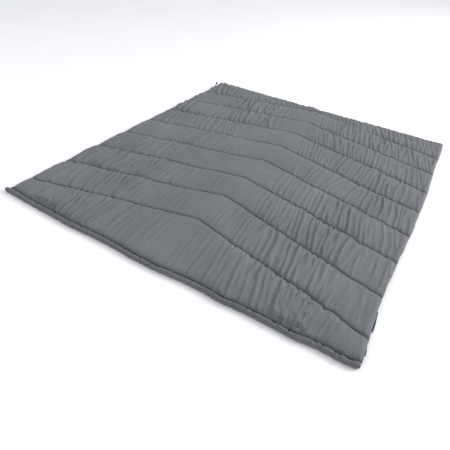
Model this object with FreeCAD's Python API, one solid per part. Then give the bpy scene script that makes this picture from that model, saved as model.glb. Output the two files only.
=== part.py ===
import FreeCAD, Part
import math
import os
from FreeCAD import Vector

# Rectangular sleeping bag, unzipped on two sides and opened out flat, lining up.
# Frame: +Z up, floor at Z = 0. The fold line runs along Y at X = 0. The head
# edge with its padded collar is at -Y, the foot edge at +Y. Left half X < 0,
# right half X > 0. The origin is on the floor, on the fold line.
# All dimensions in millimetres.

# ---------------------------------------------------------------- overall
WIDTH_OPEN = 2000.0          # across both halves, over the zip teeth
LENGTH = 2330.0              # head edge (collar) to foot edge (zip teeth)
HALF_W = WIDTH_OPEN / 2.0
FOOT_Y = 1150.0              # foot edge, outer face of the zip teeth
HEAD_Y = FOOT_Y - LENGTH     # head edge, outer line of the collar roll
FOLD_GAP = 1.0               # each half stops this far short of the fold line

# Corner between the long side and the foot edge; all layers share its centre.
CORNER_R = 60.0              # at the outer face of the teeth
CORNER_X = HALF_W - CORNER_R
CORNER_Y = FOOT_Y - CORNER_R

# ---------------------------------------------------------------- layers
CLOTH = 1.2                  # stand-in thickness of shell and lining cloth
TAPE_INSET = 5.0             # outer edge of the zip tape, in from the teeth face
EDGE_INSET = TAPE_INSET + 10.0   # outer edge of the lining, in from the teeth face
EDGE_X = HALF_W - EDGE_INSET
EDGE_FOOT = FOOT_Y - EDGE_INSET
EDGE_HEAD = HEAD_Y + 28.0    # head end of the quilt, beside the collar
EDGE_R = CORNER_R - EDGE_INSET
SEAM_Z = 3.0                 # underside of the lining where it is quilted down
QUILT_TOP = 37.0             # crown of a channel, on the lining
FILL_CLEAR = 0.4             # between wadding and cloth

OVERCUT = 5.0                # cutting solids run this far past an open side
CUT_TOP = 40.0               # top of the cutting blocks that go right through
CUT_REACH = 50.0             # half length of the cutting blocks across a slider

os.makedirs("parts", exist_ok=True)


# ============================================================ helpers
def export(shape, name):
    shape.exportStep("parts/" + name + ".step")


def mirrored(shape):
    return shape.mirror(Vector(0, 0, 0), Vector(1, 0, 0))


def export_pair(shape, name):
    # The right half's piece and its mirror image about the fold line.
    export(shape, "right_" + name)
    export(mirrored(shape), "left_" + name)


def polygon_face(points):
    return Part.Face(Part.makePolygon(points + [points[0]]))


def prism(outline, z0, z1):
    face = polygon_face([Vector(x, y, z0) for x, y in outline])
    return face.extrude(Vector(0, 0, z1 - z0))


def box(x0, x1, y0, y1, z0, z1):
    return Part.makeBox(x1 - x0, y1 - y0, z1 - z0, Vector(x0, y0, z0))


def round_edges(shape, radius, picks):
    # Fillet the edges whose bounding box passes the test.
    return shape.makeFillet(radius, [e for e in shape.Edges if picks(e.BoundBox)])


def foot_corner(grow, steps):
    # Points round the foot corner, grown outward from the edge of the lining.
    radius = EDGE_R + grow
    angles = [math.radians(90.0 * i / steps) for i in range(steps + 1)]
    return [(CORNER_X + radius * math.cos(a), CORNER_Y + radius * math.sin(a))
            for a in angles]


def half_outline(steps, grow=0.0, overrun=0.0):
    # Right half of the bag: grown at the zipped edges, run past at the fold and head.
    fold_x = FOLD_GAP - overrun
    head_y = EDGE_HEAD - overrun
    return ([(fold_x, head_y), (EDGE_X + grow, head_y)]
            + foot_corner(grow, steps) + [(fold_x, EDGE_FOOT + grow)])


def inset(points, distances):
    # Move each side of a counter-clockwise convex polygon inward by its own
    # distance and intersect neighbouring sides again.
    lines = []
    for i, (x0, y0) in enumerate(points):
        x1, y1 = points[(i + 1) % len(points)]
        length = math.hypot(x1 - x0, y1 - y0)
        normal_x = -(y1 - y0) / length
        normal_y = (x1 - x0) / length
        lines.append((normal_x, normal_y, normal_x * x0 + normal_y * y0 + distances[i]))
    corners = []
    for i in range(len(lines)):
        a1, b1, c1 = lines[i - 1]
        a2, b2, c2 = lines[i]
        det = a1 * b2 - a2 * b1
        corners.append(((c1 * b2 - c2 * b1) / det, (a1 * c2 - a2 * c1) / det))
    return corners


def pillow(outline, levels):
    # Flat-faced solid through a stack of rings; levels are (inset, z). The last
    # side of the outline, at the fold line, stays upright.
    count = len(outline)
    rings = []
    for distance, z in levels:
        ring = inset(outline, [distance] * (count - 1) + [0.0])
        rings.append([Vector(x, y, z) for x, y in ring])
    faces = []
    for lower, upper in zip(rings, rings[1:]):
        for i in range(count):
            j = (i + 1) % count
            faces.append(polygon_face([lower[i], lower[j], upper[j], upper[i]]))
    faces.append(polygon_face(rings[0]))
    faces.append(polygon_face(rings[-1]))
    solid = Part.makeSolid(Part.makeShell(faces))
    return solid.reversed() if solid.Volume < 0 else solid


# ============================================================ outer shell
SHELL_LIP_Z = 9.6            # the shell turns up to here at its zipped edges
SHELL_GROW = 1.6             # outer face of the lip, outside the lining edge
SHELL_STEPS = 8              # facets round the foot corner
STRIP_OVERLAP = 0.5          # fold strip into the left shell
STRIP_PAST_FOLD = 0.4        # fold strip beyond X = 0


def make_shell():
    outside = prism(half_outline(SHELL_STEPS, SHELL_GROW), 0.0, SHELL_LIP_Z)
    inside = prism(half_outline(SHELL_STEPS, SHELL_GROW - CLOTH, OVERCUT),
                   CLOTH, SHELL_LIP_Z + OVERCUT)
    return outside.cut(inside)


shell = make_shell()
export(shell, "right_outer_shell")
# The left shell carries on across the fold line, so the origin lies on it.
fold_strip = box(-FOLD_GAP - STRIP_OVERLAP, STRIP_PAST_FOLD,
                 EDGE_HEAD, EDGE_FOOT + SHELL_GROW, 0.0, CLOTH)
export(mirrored(shell).fuse(fold_strip).removeSplitter(), "left_outer_shell")

# ============================================================ quilting
SEAMS = 8                    # chevron seams, between nine channels
SEAM_PITCH = 265.0
FIRST_SEAM_MID = -765.0      # Y of the first seam on the fold line
CHEVRON_DROP = 255.0         # seam falls this far toward the head over HALF_W
SEAM_HALF_GAP = 3.0          # half width of the flat quilted strip
LINING_STEPS = 4             # facets round the foot corner

# Rounding of a channel from its side walls to its crown: (inset, z)
CHANNEL_PROFILE = [(0.0, 14.0), (2.0, 21.0), (7.0, 28.0), (15.0, 33.5), (28.0, QUILT_TOP)]
LAST_ROUNDING = 0.6          # inset scale of the last channel, narrow at the fold
SKIN_SLOPE = 0.05            # drop of the hollow below the lining per mm of inset
SKIN_BURY = 0.5              # channel skin starts this far above SEAM_Z
HOLLOW_BELOW = 1.0           # channel hollow starts this far below SEAM_Z
FILL_BOTTOM = 1.6
FILL_CHAMFER = 5.0           # lower edge of the wadding


def seam_y(seam, x):
    # Seam 0 is nearest the head; x is the distance from the fold line.
    return FIRST_SEAM_MID + seam * SEAM_PITCH - CHEVRON_DROP * x / HALF_W


def channel_outline(channel):
    # Counter-clockwise outline of a channel of the right half, starting with
    # its head side and clear of the quilted strips.
    head = [(FOLD_GAP, EDGE_HEAD), (EDGE_X, EDGE_HEAD)]
    if channel > 0:
        head = [(x, seam_y(channel - 1, x)) for x in (FOLD_GAP, EDGE_X)]
    if channel < SEAMS:
        foot = [(x, seam_y(channel, x)) for x in (EDGE_X, FOLD_GAP)]
    else:
        foot = foot_corner(0.0, LINING_STEPS) + [(FOLD_GAP, EDGE_FOOT)]
    outline = head + foot
    gaps = [0.0] * len(outline)
    if channel > 0:
        gaps[0] = SEAM_HALF_GAP
    if channel < SEAMS:
        gaps[2] = SEAM_HALF_GAP
    return inset(outline, gaps)


def make_channel(channel):
    # Outer form and hollow of the lining, and the wadding inside.
    outline = channel_outline(channel)
    scale = LAST_ROUNDING if channel == SEAMS else 1.0
    fill_inset = CLOTH + FILL_CLEAR
    outer_levels = [(0.0, SEAM_Z + SKIN_BURY)]
    hollow_levels = [(CLOTH, SEAM_Z - HOLLOW_BELOW)]
    fill_levels = [(fill_inset + FILL_CHAMFER, FILL_BOTTOM),
                   (fill_inset, FILL_BOTTOM + FILL_CHAMFER)]
    for distance, z in CHANNEL_PROFILE:
        hollow_z = z - min(SKIN_SLOPE * distance, CLOTH)
        outer_levels.append((distance * scale, z))
        hollow_levels.append((distance * scale + CLOTH, hollow_z))
        fill_levels.append((distance * scale + fill_inset, hollow_z - FILL_CLEAR))
    return [pillow(outline, levels) for levels in (outer_levels, hollow_levels, fill_levels)]


def make_lining(outers, hollows):
    # Flat sheet with raised channels, each open underneath.
    lining = prism(half_outline(LINING_STEPS), SEAM_Z, SEAM_Z + CLOTH)
    lining = lining.multiFuse(outers)
    for hollow in hollows:
        lining = lining.cut(hollow)
    return lining


outers, hollows, fills = zip(*[make_channel(i) for i in range(SEAMS + 1)])
export_pair(make_lining(list(outers), hollows), "lining")
for i, fill in enumerate(fills):
    export_pair(fill, "wadding_channel_%d" % (i + 1))

# ============================================================ quilting thread
THREAD_W = 1.4
THREAD_H = 0.7
THREAD_MARGIN = 4.0          # from X = 0 and from the edge of the lining
THREAD_Z = SEAM_Z + CLOTH + 0.05


def make_thread(seam):
    x0, x1 = THREAD_MARGIN, EDGE_X - THREAD_MARGIN
    y0, y1 = seam_y(seam, x0), seam_y(seam, x1)
    half = THREAD_W / 2.0
    outline = [(x0, y0 - half), (x1, y1 - half), (x1, y1 + half), (x0, y0 + half)]
    return prism(outline, THREAD_Z, THREAD_Z + THREAD_H)


export_pair(Part.makeCompound([make_thread(k) for k in range(SEAMS)]), "quilting_thread")

# ============================================================ collar roll
COLLAR_R = 13.6
COLLAR_Y = HEAD_Y + COLLAR_R
COLLAR_Z = 14.0
COLLAR_SKIN = 1.2
COLLAR_START = 3.0           # flat end, from the fold line
COLLAR_END_RIGHT = 992.0     # rounded ends, from the fold line
COLLAR_END_LEFT = 1008.0
COLLAR_ROUNDING = 8.0
COLLAR_FILL_ROUNDING = 7.0


def make_roll(side, end, shrink, rounding):
    # Roll along X with a rounded outer end, shrunk on all faces; side is +1 right, -1 left.
    flat_x = side * (COLLAR_START + shrink)
    round_x = side * (end - shrink)
    roll = Part.makeCylinder(COLLAR_R - shrink, abs(round_x - flat_x),
                             Vector(min(flat_x, round_x), COLLAR_Y, COLLAR_Z),
                             Vector(1, 0, 0))
    return round_edges(roll, rounding,
                       lambda b: abs(b.XMin - round_x) < 0.01 and abs(b.XMax - round_x) < 0.01)


for prefix, side, end in (("right", 1, COLLAR_END_RIGHT), ("left", -1, COLLAR_END_LEFT)):
    cover = make_roll(side, end, 0.0, COLLAR_ROUNDING)
    hollow = make_roll(side, end, COLLAR_SKIN, COLLAR_ROUNDING - COLLAR_SKIN)
    fill = make_roll(side, end, COLLAR_SKIN + FILL_CLEAR, COLLAR_FILL_ROUNDING)
    export(cover.cut(hollow), prefix + "_collar_cover")
    export(fill, prefix + "_collar_wadding")

# ============================================================ zip tapes, teeth
TEETH_W = 4.9
TEETH_Z0 = 8.4
TEETH_Z1 = 12.4
TAPE_W = 9.5
TAPE_Z = 10.0
TAPE_T = 0.8
ZIP_HEAD_Y = EDGE_HEAD + 12.0    # head end of the tapes
ZIP_FOOT_X = 30.0                # foot end of the tapes, clear of the fold
TEETH_HEAD_GAP = 14.0            # tape left bare of teeth at its head end
TEETH_FOOT_GAP = 22.0            # and at its foot end


def zip_line(distance, z):
    # Points along the zip from head to fold line, at a distance inward from
    # the outer face of the teeth; the middle three lie on the corner arc.
    radius = CORNER_R - distance
    diagonal = radius * math.sqrt(0.5)
    return [Vector(CORNER_X + radius, ZIP_HEAD_Y, z),
            Vector(CORNER_X + radius, CORNER_Y, z),
            Vector(CORNER_X + diagonal, CORNER_Y + diagonal, z),
            Vector(CORNER_X, CORNER_Y + radius, z),
            Vector(ZIP_FOOT_X, CORNER_Y + radius, z)]


def zip_band(distance, width, z0, z1):
    # An L-shaped band along the long side and the half's foot edge.
    outer = zip_line(distance, z0)
    inner = zip_line(distance + width, z0)[::-1]
    edges = []
    for line, following in ((outer, inner), (inner, outer)):
        edges += [Part.makeLine(line[0], line[1]),
                  Part.Arc(line[1], line[2], line[3]).toShape(),
                  Part.makeLine(line[3], line[4]),
                  Part.makeLine(line[4], following[0])]
    return Part.Face(Part.Wire(edges)).extrude(Vector(0, 0, z1 - z0))


def make_teeth():
    # The band stops short at both ends, leaving room for the end fittings.
    teeth = zip_band(0.0, TEETH_W, TEETH_Z0, TEETH_Z1)
    teeth = teeth.cut(box(HALF_W - 100, HALF_W + 100, ZIP_HEAD_Y - OVERCUT,
                          ZIP_HEAD_Y + TEETH_HEAD_GAP, 0, CUT_TOP))
    return teeth.cut(box(0, ZIP_FOOT_X + TEETH_FOOT_GAP, FOOT_Y - 50, FOOT_Y + 50,
                         0, CUT_TOP))


export_pair(zip_band(TAPE_INSET, TAPE_W, TAPE_Z, TAPE_Z + TAPE_T), "zip_tape")
export_pair(make_teeth(), "zip_teeth")

# ============================================================ zip end fittings
STOP_OVERHANG = 0.4          # past the teeth on both sides
STOP_TOP = TEETH_Z1 + 0.8
FITTING_X0 = ZIP_FOOT_X + 1.5    # foot fittings, distances from the fold line
FITTING_X1 = FITTING_X0 + 20.0
FITTING_Y0 = FOOT_Y - TEETH_W + 0.1
RETAINER_Y1 = FOOT_Y + 4.5


def make_top_stop():
    stop = box(HALF_W - TEETH_W - STOP_OVERHANG, HALF_W + STOP_OVERHANG,
               ZIP_HEAD_Y + 2, ZIP_HEAD_Y + 13.5, TAPE_Z + TAPE_T + 0.1, STOP_TOP)
    return round_edges(stop, 0.8, lambda b: b.ZMin > STOP_TOP - 0.1)


def make_retainer():
    # Box on the left tape, slotted from its end nearest the fold line.
    retainer = box(-FITTING_X1, -FITTING_X0, FITTING_Y0, RETAINER_Y1, 7.4, 13.6)
    retainer = round_edges(retainer, 1.2, lambda b: b.YMin > RETAINER_Y1 - 0.5)
    slot = box(-ZIP_FOOT_X - 16.0, -ZIP_FOOT_X + 1.0, FOOT_Y + 0.6, FOOT_Y + 3.2,
               8.8, 12.2)
    return retainer.cut(slot)


def make_insertion_pin():
    # Pin on the right tape, its long edges rounded.
    pin = box(FITTING_X0, FITTING_X1, FITTING_Y0, FOOT_Y - 2.6, 9.0, 12.0)
    return round_edges(pin, 0.7, lambda b: b.XLength > 10)


export_pair(make_top_stop(), "zip_top_stop")
export(make_retainer(), "zip_retainer_box")
export(make_insertion_pin(), "zip_insertion_pin")

# ============================================================ pockets
POCKETS = {                  # x0, x1, y0, y1
    "right": (585.0, 768.0, -1122.0, -992.0),
    "left": (-820.0, -620.0, -1120.0, -1008.0),
}
POCKET_Z = QUILT_TOP + 0.2
POCKET_T = 1.2
POCKET_CORNER_R = 14.0
STITCH_MARGIN = 5.0          # from the pocket edge to the stitching
STITCH_END = 16.0            # from the pocket corners to the ends of a line
STITCH_W = 1.0
STITCH_H = 0.5
STITCH_Z = POCKET_Z + POCKET_T + 0.05


def make_pocket(x0, x1, y0, y1):
    patch = box(x0, x1, y0, y1, POCKET_Z, POCKET_Z + POCKET_T)
    return round_edges(patch, POCKET_CORNER_R, lambda b: b.ZLength > 1.0)


def make_pocket_stitching(x0, x1, y0, y1):
    # Lines along both long-side edges (Y) and the head edge of the pocket.
    line_x0, line_x1 = x0 + STITCH_MARGIN, x1 - STITCH_MARGIN
    line_y = y0 + STITCH_MARGIN
    spans = [
        (line_x0, line_x0 + STITCH_W, y0 + STITCH_END, y1 - STITCH_END),
        (line_x1 - STITCH_W, line_x1, y0 + STITCH_END, y1 - STITCH_END),
        (x0 + STITCH_END, x1 - STITCH_END, line_y, line_y + STITCH_W),
    ]
    return Part.makeCompound([box(*span, STITCH_Z, STITCH_Z + STITCH_H) for span in spans])


for prefix, extent in POCKETS.items():
    export(make_pocket(*extent), prefix + "_inner_pocket")
    export(make_pocket_stitching(*extent), prefix + "_pocket_stitching")

# ============================================================ sliders
# Local slider frame: +X outward from the bag, Y along the zip, origin on the
# slider's centre line at floor level. Pulls are built upright, then tilted.
MAIN_SLIDER_Y = 1030.0
FOOT_SLIDER_X = -68.0
SLIDER_OUT = 1.5             # slider centre line, outside the teeth
SLIDER_LEN = 18.0
SLIDER_HALF_W = 15.6 / 2.0
TAIL_HALF_W = SLIDER_HALF_W - 1.2
FRONT_HALF_W = SLIDER_HALF_W - 2.5
PLATE_T = 1.8
PLATE_TOP_Z = 13.0
PLATE_BOT_Z = 6.0
PLATE_BITE = 0.5             # flanges and post run this far into the plates
FLANGE_T = 1.2
TAPE_SLOT_Z = (9.3, 11.6)    # slot through both flanges

# Plan of the plates: (x, y as a fraction of the half length, front positive)
PLATE_PLAN = [(-TAIL_HALF_W, -1.0), (-SLIDER_HALF_W, -0.2), (-SLIDER_HALF_W, 0.65),
              (-FRONT_HALF_W, 1.0), (FRONT_HALF_W, 1.0), (SLIDER_HALF_W, 0.65),
              (SLIDER_HALF_W, -0.2), (TAIL_HALF_W, -1.0)]
# Plan of the dividing post in the front half, same columns
POST_PLAN = [(0.35, 0.05), (1.5, 0.55), (1.0, 0.9), (-1.0, 0.9), (-1.0, 0.55), (-0.35, 0.05)]

BAIL_HALF_W = 1.25
BAIL_HALF_LEN = 5.8
BAIL_TOP_Z = 18.6
BAIL_EYE_HALF_LEN = 4.2
BAIL_EYE_TOP_Z = 17.2

PIN_Z = 16.0                 # pull pin axis, along X
TAB_HALF_T = 0.8             # also the radius of the pull pin
TAB_HALF_W = 3.3
TAB_LEN = 19.0
TAB_ARM_W = 1.6
TAB_ARM_LEN = 8.5            # from the pull pin, overlapping the plate
TAB_PLATE_START = 8.0        # from the pull pin
CORD_HOLE_Z = PIN_Z + 16.0
CORD_HOLE_R = 1.6
CORD_R = 1.0
CORD_HALF_SPREAD = 2.4       # cord strands, either side of the tab
CORD_LEN = 12.0
GRIP_LEN = 28.0
GRIP_W = 11.0
GRIP_T = 6.5
PULL_ROUNDING = 2.6          # tab end corners and all grip edges
CORD_LEAN = 15.0             # cord and grip lean outward by this much
MAIN_PULL_TILT = 66.0        # the main pull leans from upright toward the foot
FOOT_PULL_TILT = -86.0       # the foot pull lies along the foot edge


def slider_body(front):
    # front is +1 or -1: the end of the local Y axis that the front faces.
    def plan(table):
        return [(x, y * front * SLIDER_LEN / 2.0) for x, y in table]

    z0, z1 = PLATE_BOT_Z + PLATE_BITE, PLATE_TOP_Z + PLATE_BITE
    plate = plan(PLATE_PLAN)
    top = prism(plate, PLATE_TOP_Z, PLATE_TOP_Z + PLATE_T)
    bottom = prism(plate, PLATE_BOT_Z, PLATE_BOT_Z + PLATE_T)
    body = top.fuse(bottom)
    inner_x = SLIDER_HALF_W - FLANGE_T
    flanges = prism(plate, z0, z1).cut(
        box(-inner_x, inner_x, -CUT_REACH, CUT_REACH, 0, CUT_TOP))
    flanges = flanges.cut(box(-CUT_REACH, CUT_REACH, -CUT_REACH, CUT_REACH, *TAPE_SLOT_Z))
    body = body.fuse(flanges)
    body = body.fuse(prism(plan(POST_PLAN), z0, z1))
    return body.removeSplitter()


def slider_bail():
    z0 = PLATE_TOP_Z + PLATE_T + 0.05
    bail = box(-BAIL_HALF_W, BAIL_HALF_W, -BAIL_HALF_LEN, BAIL_HALF_LEN, z0, BAIL_TOP_Z)
    bail = round_edges(bail, 1.6, lambda b: b.ZMin > BAIL_TOP_Z - 0.1 and b.XLength > 2)
    return bail.cut(box(-5, 5, -BAIL_EYE_HALF_LEN, BAIL_EYE_HALF_LEN,
                        z0 - 1, BAIL_EYE_TOP_Z))


def pull_tab():
    # Two arms from the pin pass the bail and join into a plate with a cord hole.
    half_w, half_t = TAB_HALF_W, TAB_HALF_T
    end_z = PIN_Z + TAB_LEN
    tab = Part.makeCylinder(half_t, 2 * half_w, Vector(-half_w, 0, PIN_Z), Vector(1, 0, 0))
    for x0 in (-half_w, half_w - TAB_ARM_W):
        tab = tab.fuse(box(x0, x0 + TAB_ARM_W, -half_t, half_t, PIN_Z, PIN_Z + TAB_ARM_LEN))
    plate = box(-half_w, half_w, -half_t, half_t, PIN_Z + TAB_PLATE_START, end_z)
    plate = round_edges(plate, PULL_ROUNDING,
                        lambda b: b.ZMin > end_z - 0.1 and b.YLength > 1)
    hole = Part.makeCylinder(CORD_HOLE_R, 10, Vector(0, -5, CORD_HOLE_Z), Vector(0, 1, 0))
    return tab.fuse(plate).cut(hole).removeSplitter()


def pull_cord():
    # A bar through the cord hole, ball corners and two strands.
    ends = [Vector(0, y, CORD_HOLE_Z) for y in (-CORD_HALF_SPREAD, CORD_HALF_SPREAD)]
    cord = Part.makeCylinder(CORD_R, 2 * CORD_HALF_SPREAD, ends[0], Vector(0, 1, 0))
    for end in ends:
        cord = cord.fuse(Part.makeSphere(CORD_R, end))
    for end in ends:
        cord = cord.fuse(Part.makeCylinder(CORD_R, CORD_LEN, end))
    return cord


def pull_grip():
    z0 = CORD_HOLE_Z + CORD_LEN + 0.1
    grip = box(-GRIP_W / 2, GRIP_W / 2, -GRIP_T / 2, GRIP_T / 2, z0, z0 + GRIP_LEN)
    return grip.makeFillet(PULL_ROUNDING, grip.Edges)


def lean(shape):
    # Lean about the cord hole, toward local +X.
    shape.rotate(Vector(0, 0, CORD_HOLE_Z), Vector(0, 1, 0), CORD_LEAN)
    return shape


def tilt(shape, angle):
    # Tilt about the pull pin; a positive angle tilts toward local -Y.
    shape.rotate(Vector(0, 0, PIN_Z), Vector(1, 0, 0), angle)
    return shape


def export_slider(prefix, front, turn, x, y, angle):
    pieces = {
        "slider_body": slider_body(front),
        "slider_bail": slider_bail(),
        "pull_tab": tilt(pull_tab(), angle),
        "pull_cord": tilt(lean(pull_cord()), angle),
        "pull_grip": tilt(lean(pull_grip()), angle),
    }
    for name, shape in pieces.items():
        shape.rotate(Vector(0, 0, 0), Vector(0, 0, 1), turn)
        shape.translate(Vector(x, y, 0))
        export(shape, prefix + "_" + name)


# Main slider: on the left long side, its front toward the head.
export_slider("main", front=1, turn=180, x=-(HALF_W + SLIDER_OUT), y=MAIN_SLIDER_Y,
              angle=MAIN_PULL_TILT)
# Foot slider: on the left half of the foot edge, its front toward the fold line.
export_slider("foot", front=-1, turn=90, x=FOOT_SLIDER_X, y=FOOT_Y + SLIDER_OUT,
              angle=FOOT_PULL_TILT)
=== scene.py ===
"""A quilted bag with a two-way zip, opened out flat on a studio floor.

Metres, +Z up. The fold between the halves lies along x = 0, the left half at -x
and the right half at +x. The collar is at the head end (-y), the foot at +y.
The lining faces up and the outer shell lies against the floor, near z = 0.
"""
import math

import bpy
import numpy as np
from mathutils import Matrix, Vector
from mathutils.bvhtree import BVHTree


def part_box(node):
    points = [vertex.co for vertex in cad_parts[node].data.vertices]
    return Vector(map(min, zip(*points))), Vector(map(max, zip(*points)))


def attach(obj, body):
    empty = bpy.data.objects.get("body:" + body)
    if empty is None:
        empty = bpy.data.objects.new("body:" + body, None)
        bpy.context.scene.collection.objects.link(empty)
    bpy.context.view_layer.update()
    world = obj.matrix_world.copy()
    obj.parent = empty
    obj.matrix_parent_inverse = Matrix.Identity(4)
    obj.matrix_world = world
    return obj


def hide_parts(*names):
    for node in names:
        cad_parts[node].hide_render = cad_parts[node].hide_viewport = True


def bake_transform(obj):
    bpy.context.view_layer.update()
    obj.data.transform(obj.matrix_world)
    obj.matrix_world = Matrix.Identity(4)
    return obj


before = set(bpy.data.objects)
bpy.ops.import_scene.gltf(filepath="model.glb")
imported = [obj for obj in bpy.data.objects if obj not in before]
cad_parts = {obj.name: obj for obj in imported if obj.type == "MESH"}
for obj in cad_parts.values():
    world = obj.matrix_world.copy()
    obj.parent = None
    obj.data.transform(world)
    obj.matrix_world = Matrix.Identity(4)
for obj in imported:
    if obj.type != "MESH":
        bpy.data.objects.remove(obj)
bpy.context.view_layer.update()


# ------------------------------------------------------------------ places
def span(name):
    """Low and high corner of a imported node's box."""
    lo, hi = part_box(name)
    return np.array(lo), np.array(hi)


LINING_LO, LINING_HI = span("right_lining")
SIDE_X = float(LINING_HI[0])       # long-side edge of the lining
HEAD_Y = float(LINING_LO[1])       # head edge of the quilt, beside the collar
FOOT_Y = float(LINING_HI[1])       # foot edge of the quilt
CROWN_Z = float(LINING_HI[2])      # top of a padded channel
TAPE_LO, TAPE_HI = span("right_zip_tape")
TEETH_LO, TEETH_HI = span("right_zip_teeth")
COLLAR_LO, COLLAR_HI = span("left_collar_cover")
COLLAR_END_X = float(span("right_collar_cover")[1][0])

CHANNELS = 9
SEAMS = CHANNELS - 1
# each seam's y at the fold, and how far it falls toward -y per metre of x
SEAM_MID = [float(span("right_wadding_channel_%d" % (k + 1))[1][1]) + 0.0047
            for k in range(SEAMS)]
SEAM_DROP = (SEAM_MID[0] - (float(span("right_wadding_channel_2")[0][1]) - 0.0051)) / SIDE_X

SEAM_Z = 0.0098                    # lining where it is quilted down
SHELL_SEAM_Z = 0.0078              # shell at the same stitches
EDGE_Z = float(TAPE_HI[2]) + 0.0005
HEM_Z = float(TEETH_HI[2]) + 0.0005     # right lining hem, lying over the teeth
SHELL_EDGE_Z = float(TAPE_LO[2]) - 0.0004
HEM_X = float(TEETH_HI[0]) + 0.0005
TOP_Z = 0.0402                     # nothing of the quilt stands above this
SOFT_TOP_Z = 0.0365                # above this the lining is squeezed down
HEAD_Z = 0.0050                    # lining where the collar is sewn on
HEAD_SHELL_Z = 0.0034              # shell at the same seam

STEP = 0.0108  # cloth grid spacing that the others scale from
SECTION_IN = 0.030                 # how far in from its edge a sheet rounds over
FOOT_FLAT, FOOT_ROUND = 100, 61    # section points of the foot channel
BAND_X = 0.033                     # collar cloth inside this is evenly spaced
UP = np.array([0.0, 0.0, 1.0])

# (x, y offset) of the head edge from its straight line when spread out
HEAD_OFFSETS = [
    (-1.02, 0.009), (-0.95, 0.009), (-0.84, 0.003), (-0.72, -0.003), (-0.50, -0.008),
    (-0.30, -0.004), (0.0, -0.015), (0.27, 0.001), (0.40, -0.007), (0.58, -0.001),
    (0.72, -0.004), (0.85, 0.005), (0.94, 0.003), (1.02, 0.009)]
# (y, x offset) of the right long side from its straight line
SIDE_OFFSETS = [
    (-1.14, 0.0), (-1.04, -0.006), (-0.94, -0.011), (-0.70, -0.013), (-0.47, -0.007),
    (-0.30, 0.0), (-0.10, 0.007), (0.27, 0.012), (0.45, 0.008), (0.72, 0.0),
    (0.92, 0.003), (1.04, 0.001), (1.10, 0.0)]


# ------------------------------------------------------------------ curves
def sstep(t):
    """Smooth step from 0 to 1."""
    t = np.clip(t, 0.0, 1.0)
    return t * t * (3 - 2 * t)


def rise(x, start, width):
    return sstep((x - start) / width)


def fade(x, start, width):
    return 1 - rise(x, start, width)


def bell(offset, width):
    return np.exp(-(offset / width) ** 2)


def lerp(a, b, mix):
    return a * (1 - mix) + b * mix


def noise2(x, y, wave_x, wave_y, seed):
    """Smooth random field over the plane, with knots one wave apart."""
    grid_x = (x + 1.3) / wave_x
    grid_y = (y + 1.5) / wave_y
    knots = np.random.default_rng(seed).standard_normal(
        (int(2.6 / wave_x) + 4, int(3.0 / wave_y) + 4))
    i, j = np.floor(grid_x).astype(int), np.floor(grid_y).astype(int)
    mix_x, mix_y = sstep(grid_x - i), sstep(grid_y - j)
    count_x, count_y = knots.shape
    next_i, next_j = (i + 1) % count_x, (j + 1) % count_y
    i, j = i % count_x, j % count_y
    return lerp(lerp(knots[i, j], knots[next_i, j], mix_x),
                lerp(knots[i, next_j], knots[next_i, next_j], mix_x), mix_y)


def noise1(x, wave, seed):
    """Smooth random curve, with knots one wave apart."""
    knots = np.random.default_rng(seed).standard_normal(int(3.2 / wave) + 4)
    grid = (x + 1.5) / wave
    i = grid.astype(int)
    return lerp(knots[i], knots[i + 1], sstep(grid - i))


def table(x, points):
    """A smooth curve through a few (position, offset) points."""
    points = np.array(points)
    t = np.interp(x, points[:, 0], np.arange(len(points)))
    i = np.clip(t.astype(int), 0, len(points) - 2)
    return lerp(points[i, 1], points[i + 1, 1], sstep(t - i))


def head_shift(x):
    return table(x, HEAD_OFFSETS) + 0.0012 * noise1(x, 0.07, 92)


def shift_side(x, y):
    """x with the right long side eased in and out, as the opened bag lies."""
    return x + table(y, SIDE_OFFSETS) * rise(x, 0.5, 0.45)


def length(vectors):
    return np.sqrt((vectors ** 2).sum(-1))


def unit(vectors):
    return vectors / (np.linalg.norm(vectors, axis=-1, keepdims=True) + 1e-12)


def distance_along(points):
    return np.concatenate([[0], np.cumsum(length(np.diff(points, axis=0)))])


def sample(at, distance, values):
    """Values along a path, read off at the given distances."""
    return np.stack([np.interp(at, distance, column) for column in values.T], -1)


# ------------------------------------------------------------------ cloth
# A position-based cloth solver on a regular grid. Each sheet is sewn down
# along its seams and edges. The cloth between them is cut longer than the
# stitched length, and the wadding pushes it up, so it gathers into folds that
# run away from the stitching. Seeded, so every run gives the same cloth.


def tug(a, b, free_a, free_b, rest, stiff):
    """Move joined points, in place, toward their rest distance."""
    gap = b - a
    far = length(gap) + 1e-12
    free = free_a + free_b
    gap *= ((far - rest) / far * stiff / np.where(free > 0, free, 1.0))[..., None]
    a += free_a[..., None] * gap
    b -= free_b[..., None] * gap


def joins(rows, cols, rest, shear):
    """Pairs of grid slices that cloth links join, with rest length and stiffness."""
    rest_x, rest_y, rest_down, rest_up = rest
    out = [(np.s_[:, i:cols - 1:2], np.s_[:, i + 1:cols:2], rest_x[:, i::2], 1.0)
           for i in (0, 1)]
    out += [(np.s_[i:rows - 1:2], np.s_[i + 1:rows:2], rest_y[i::2], 1.0) for i in (0, 1)]
    for i in (0, 1):
        for j in (0, 1):
            row, next_row = slice(i, rows - 1, 2), slice(i + 1, rows, 2)
            col, next_col = slice(j, cols - 1, 2), slice(j + 1, cols, 2)
            out.append(((row, col), (next_row, next_col), rest_down[i::2, j::2], shear))
            out.append(((next_row, col), (row, next_col), rest_up[i::2, j::2], shear))
    return out


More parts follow.
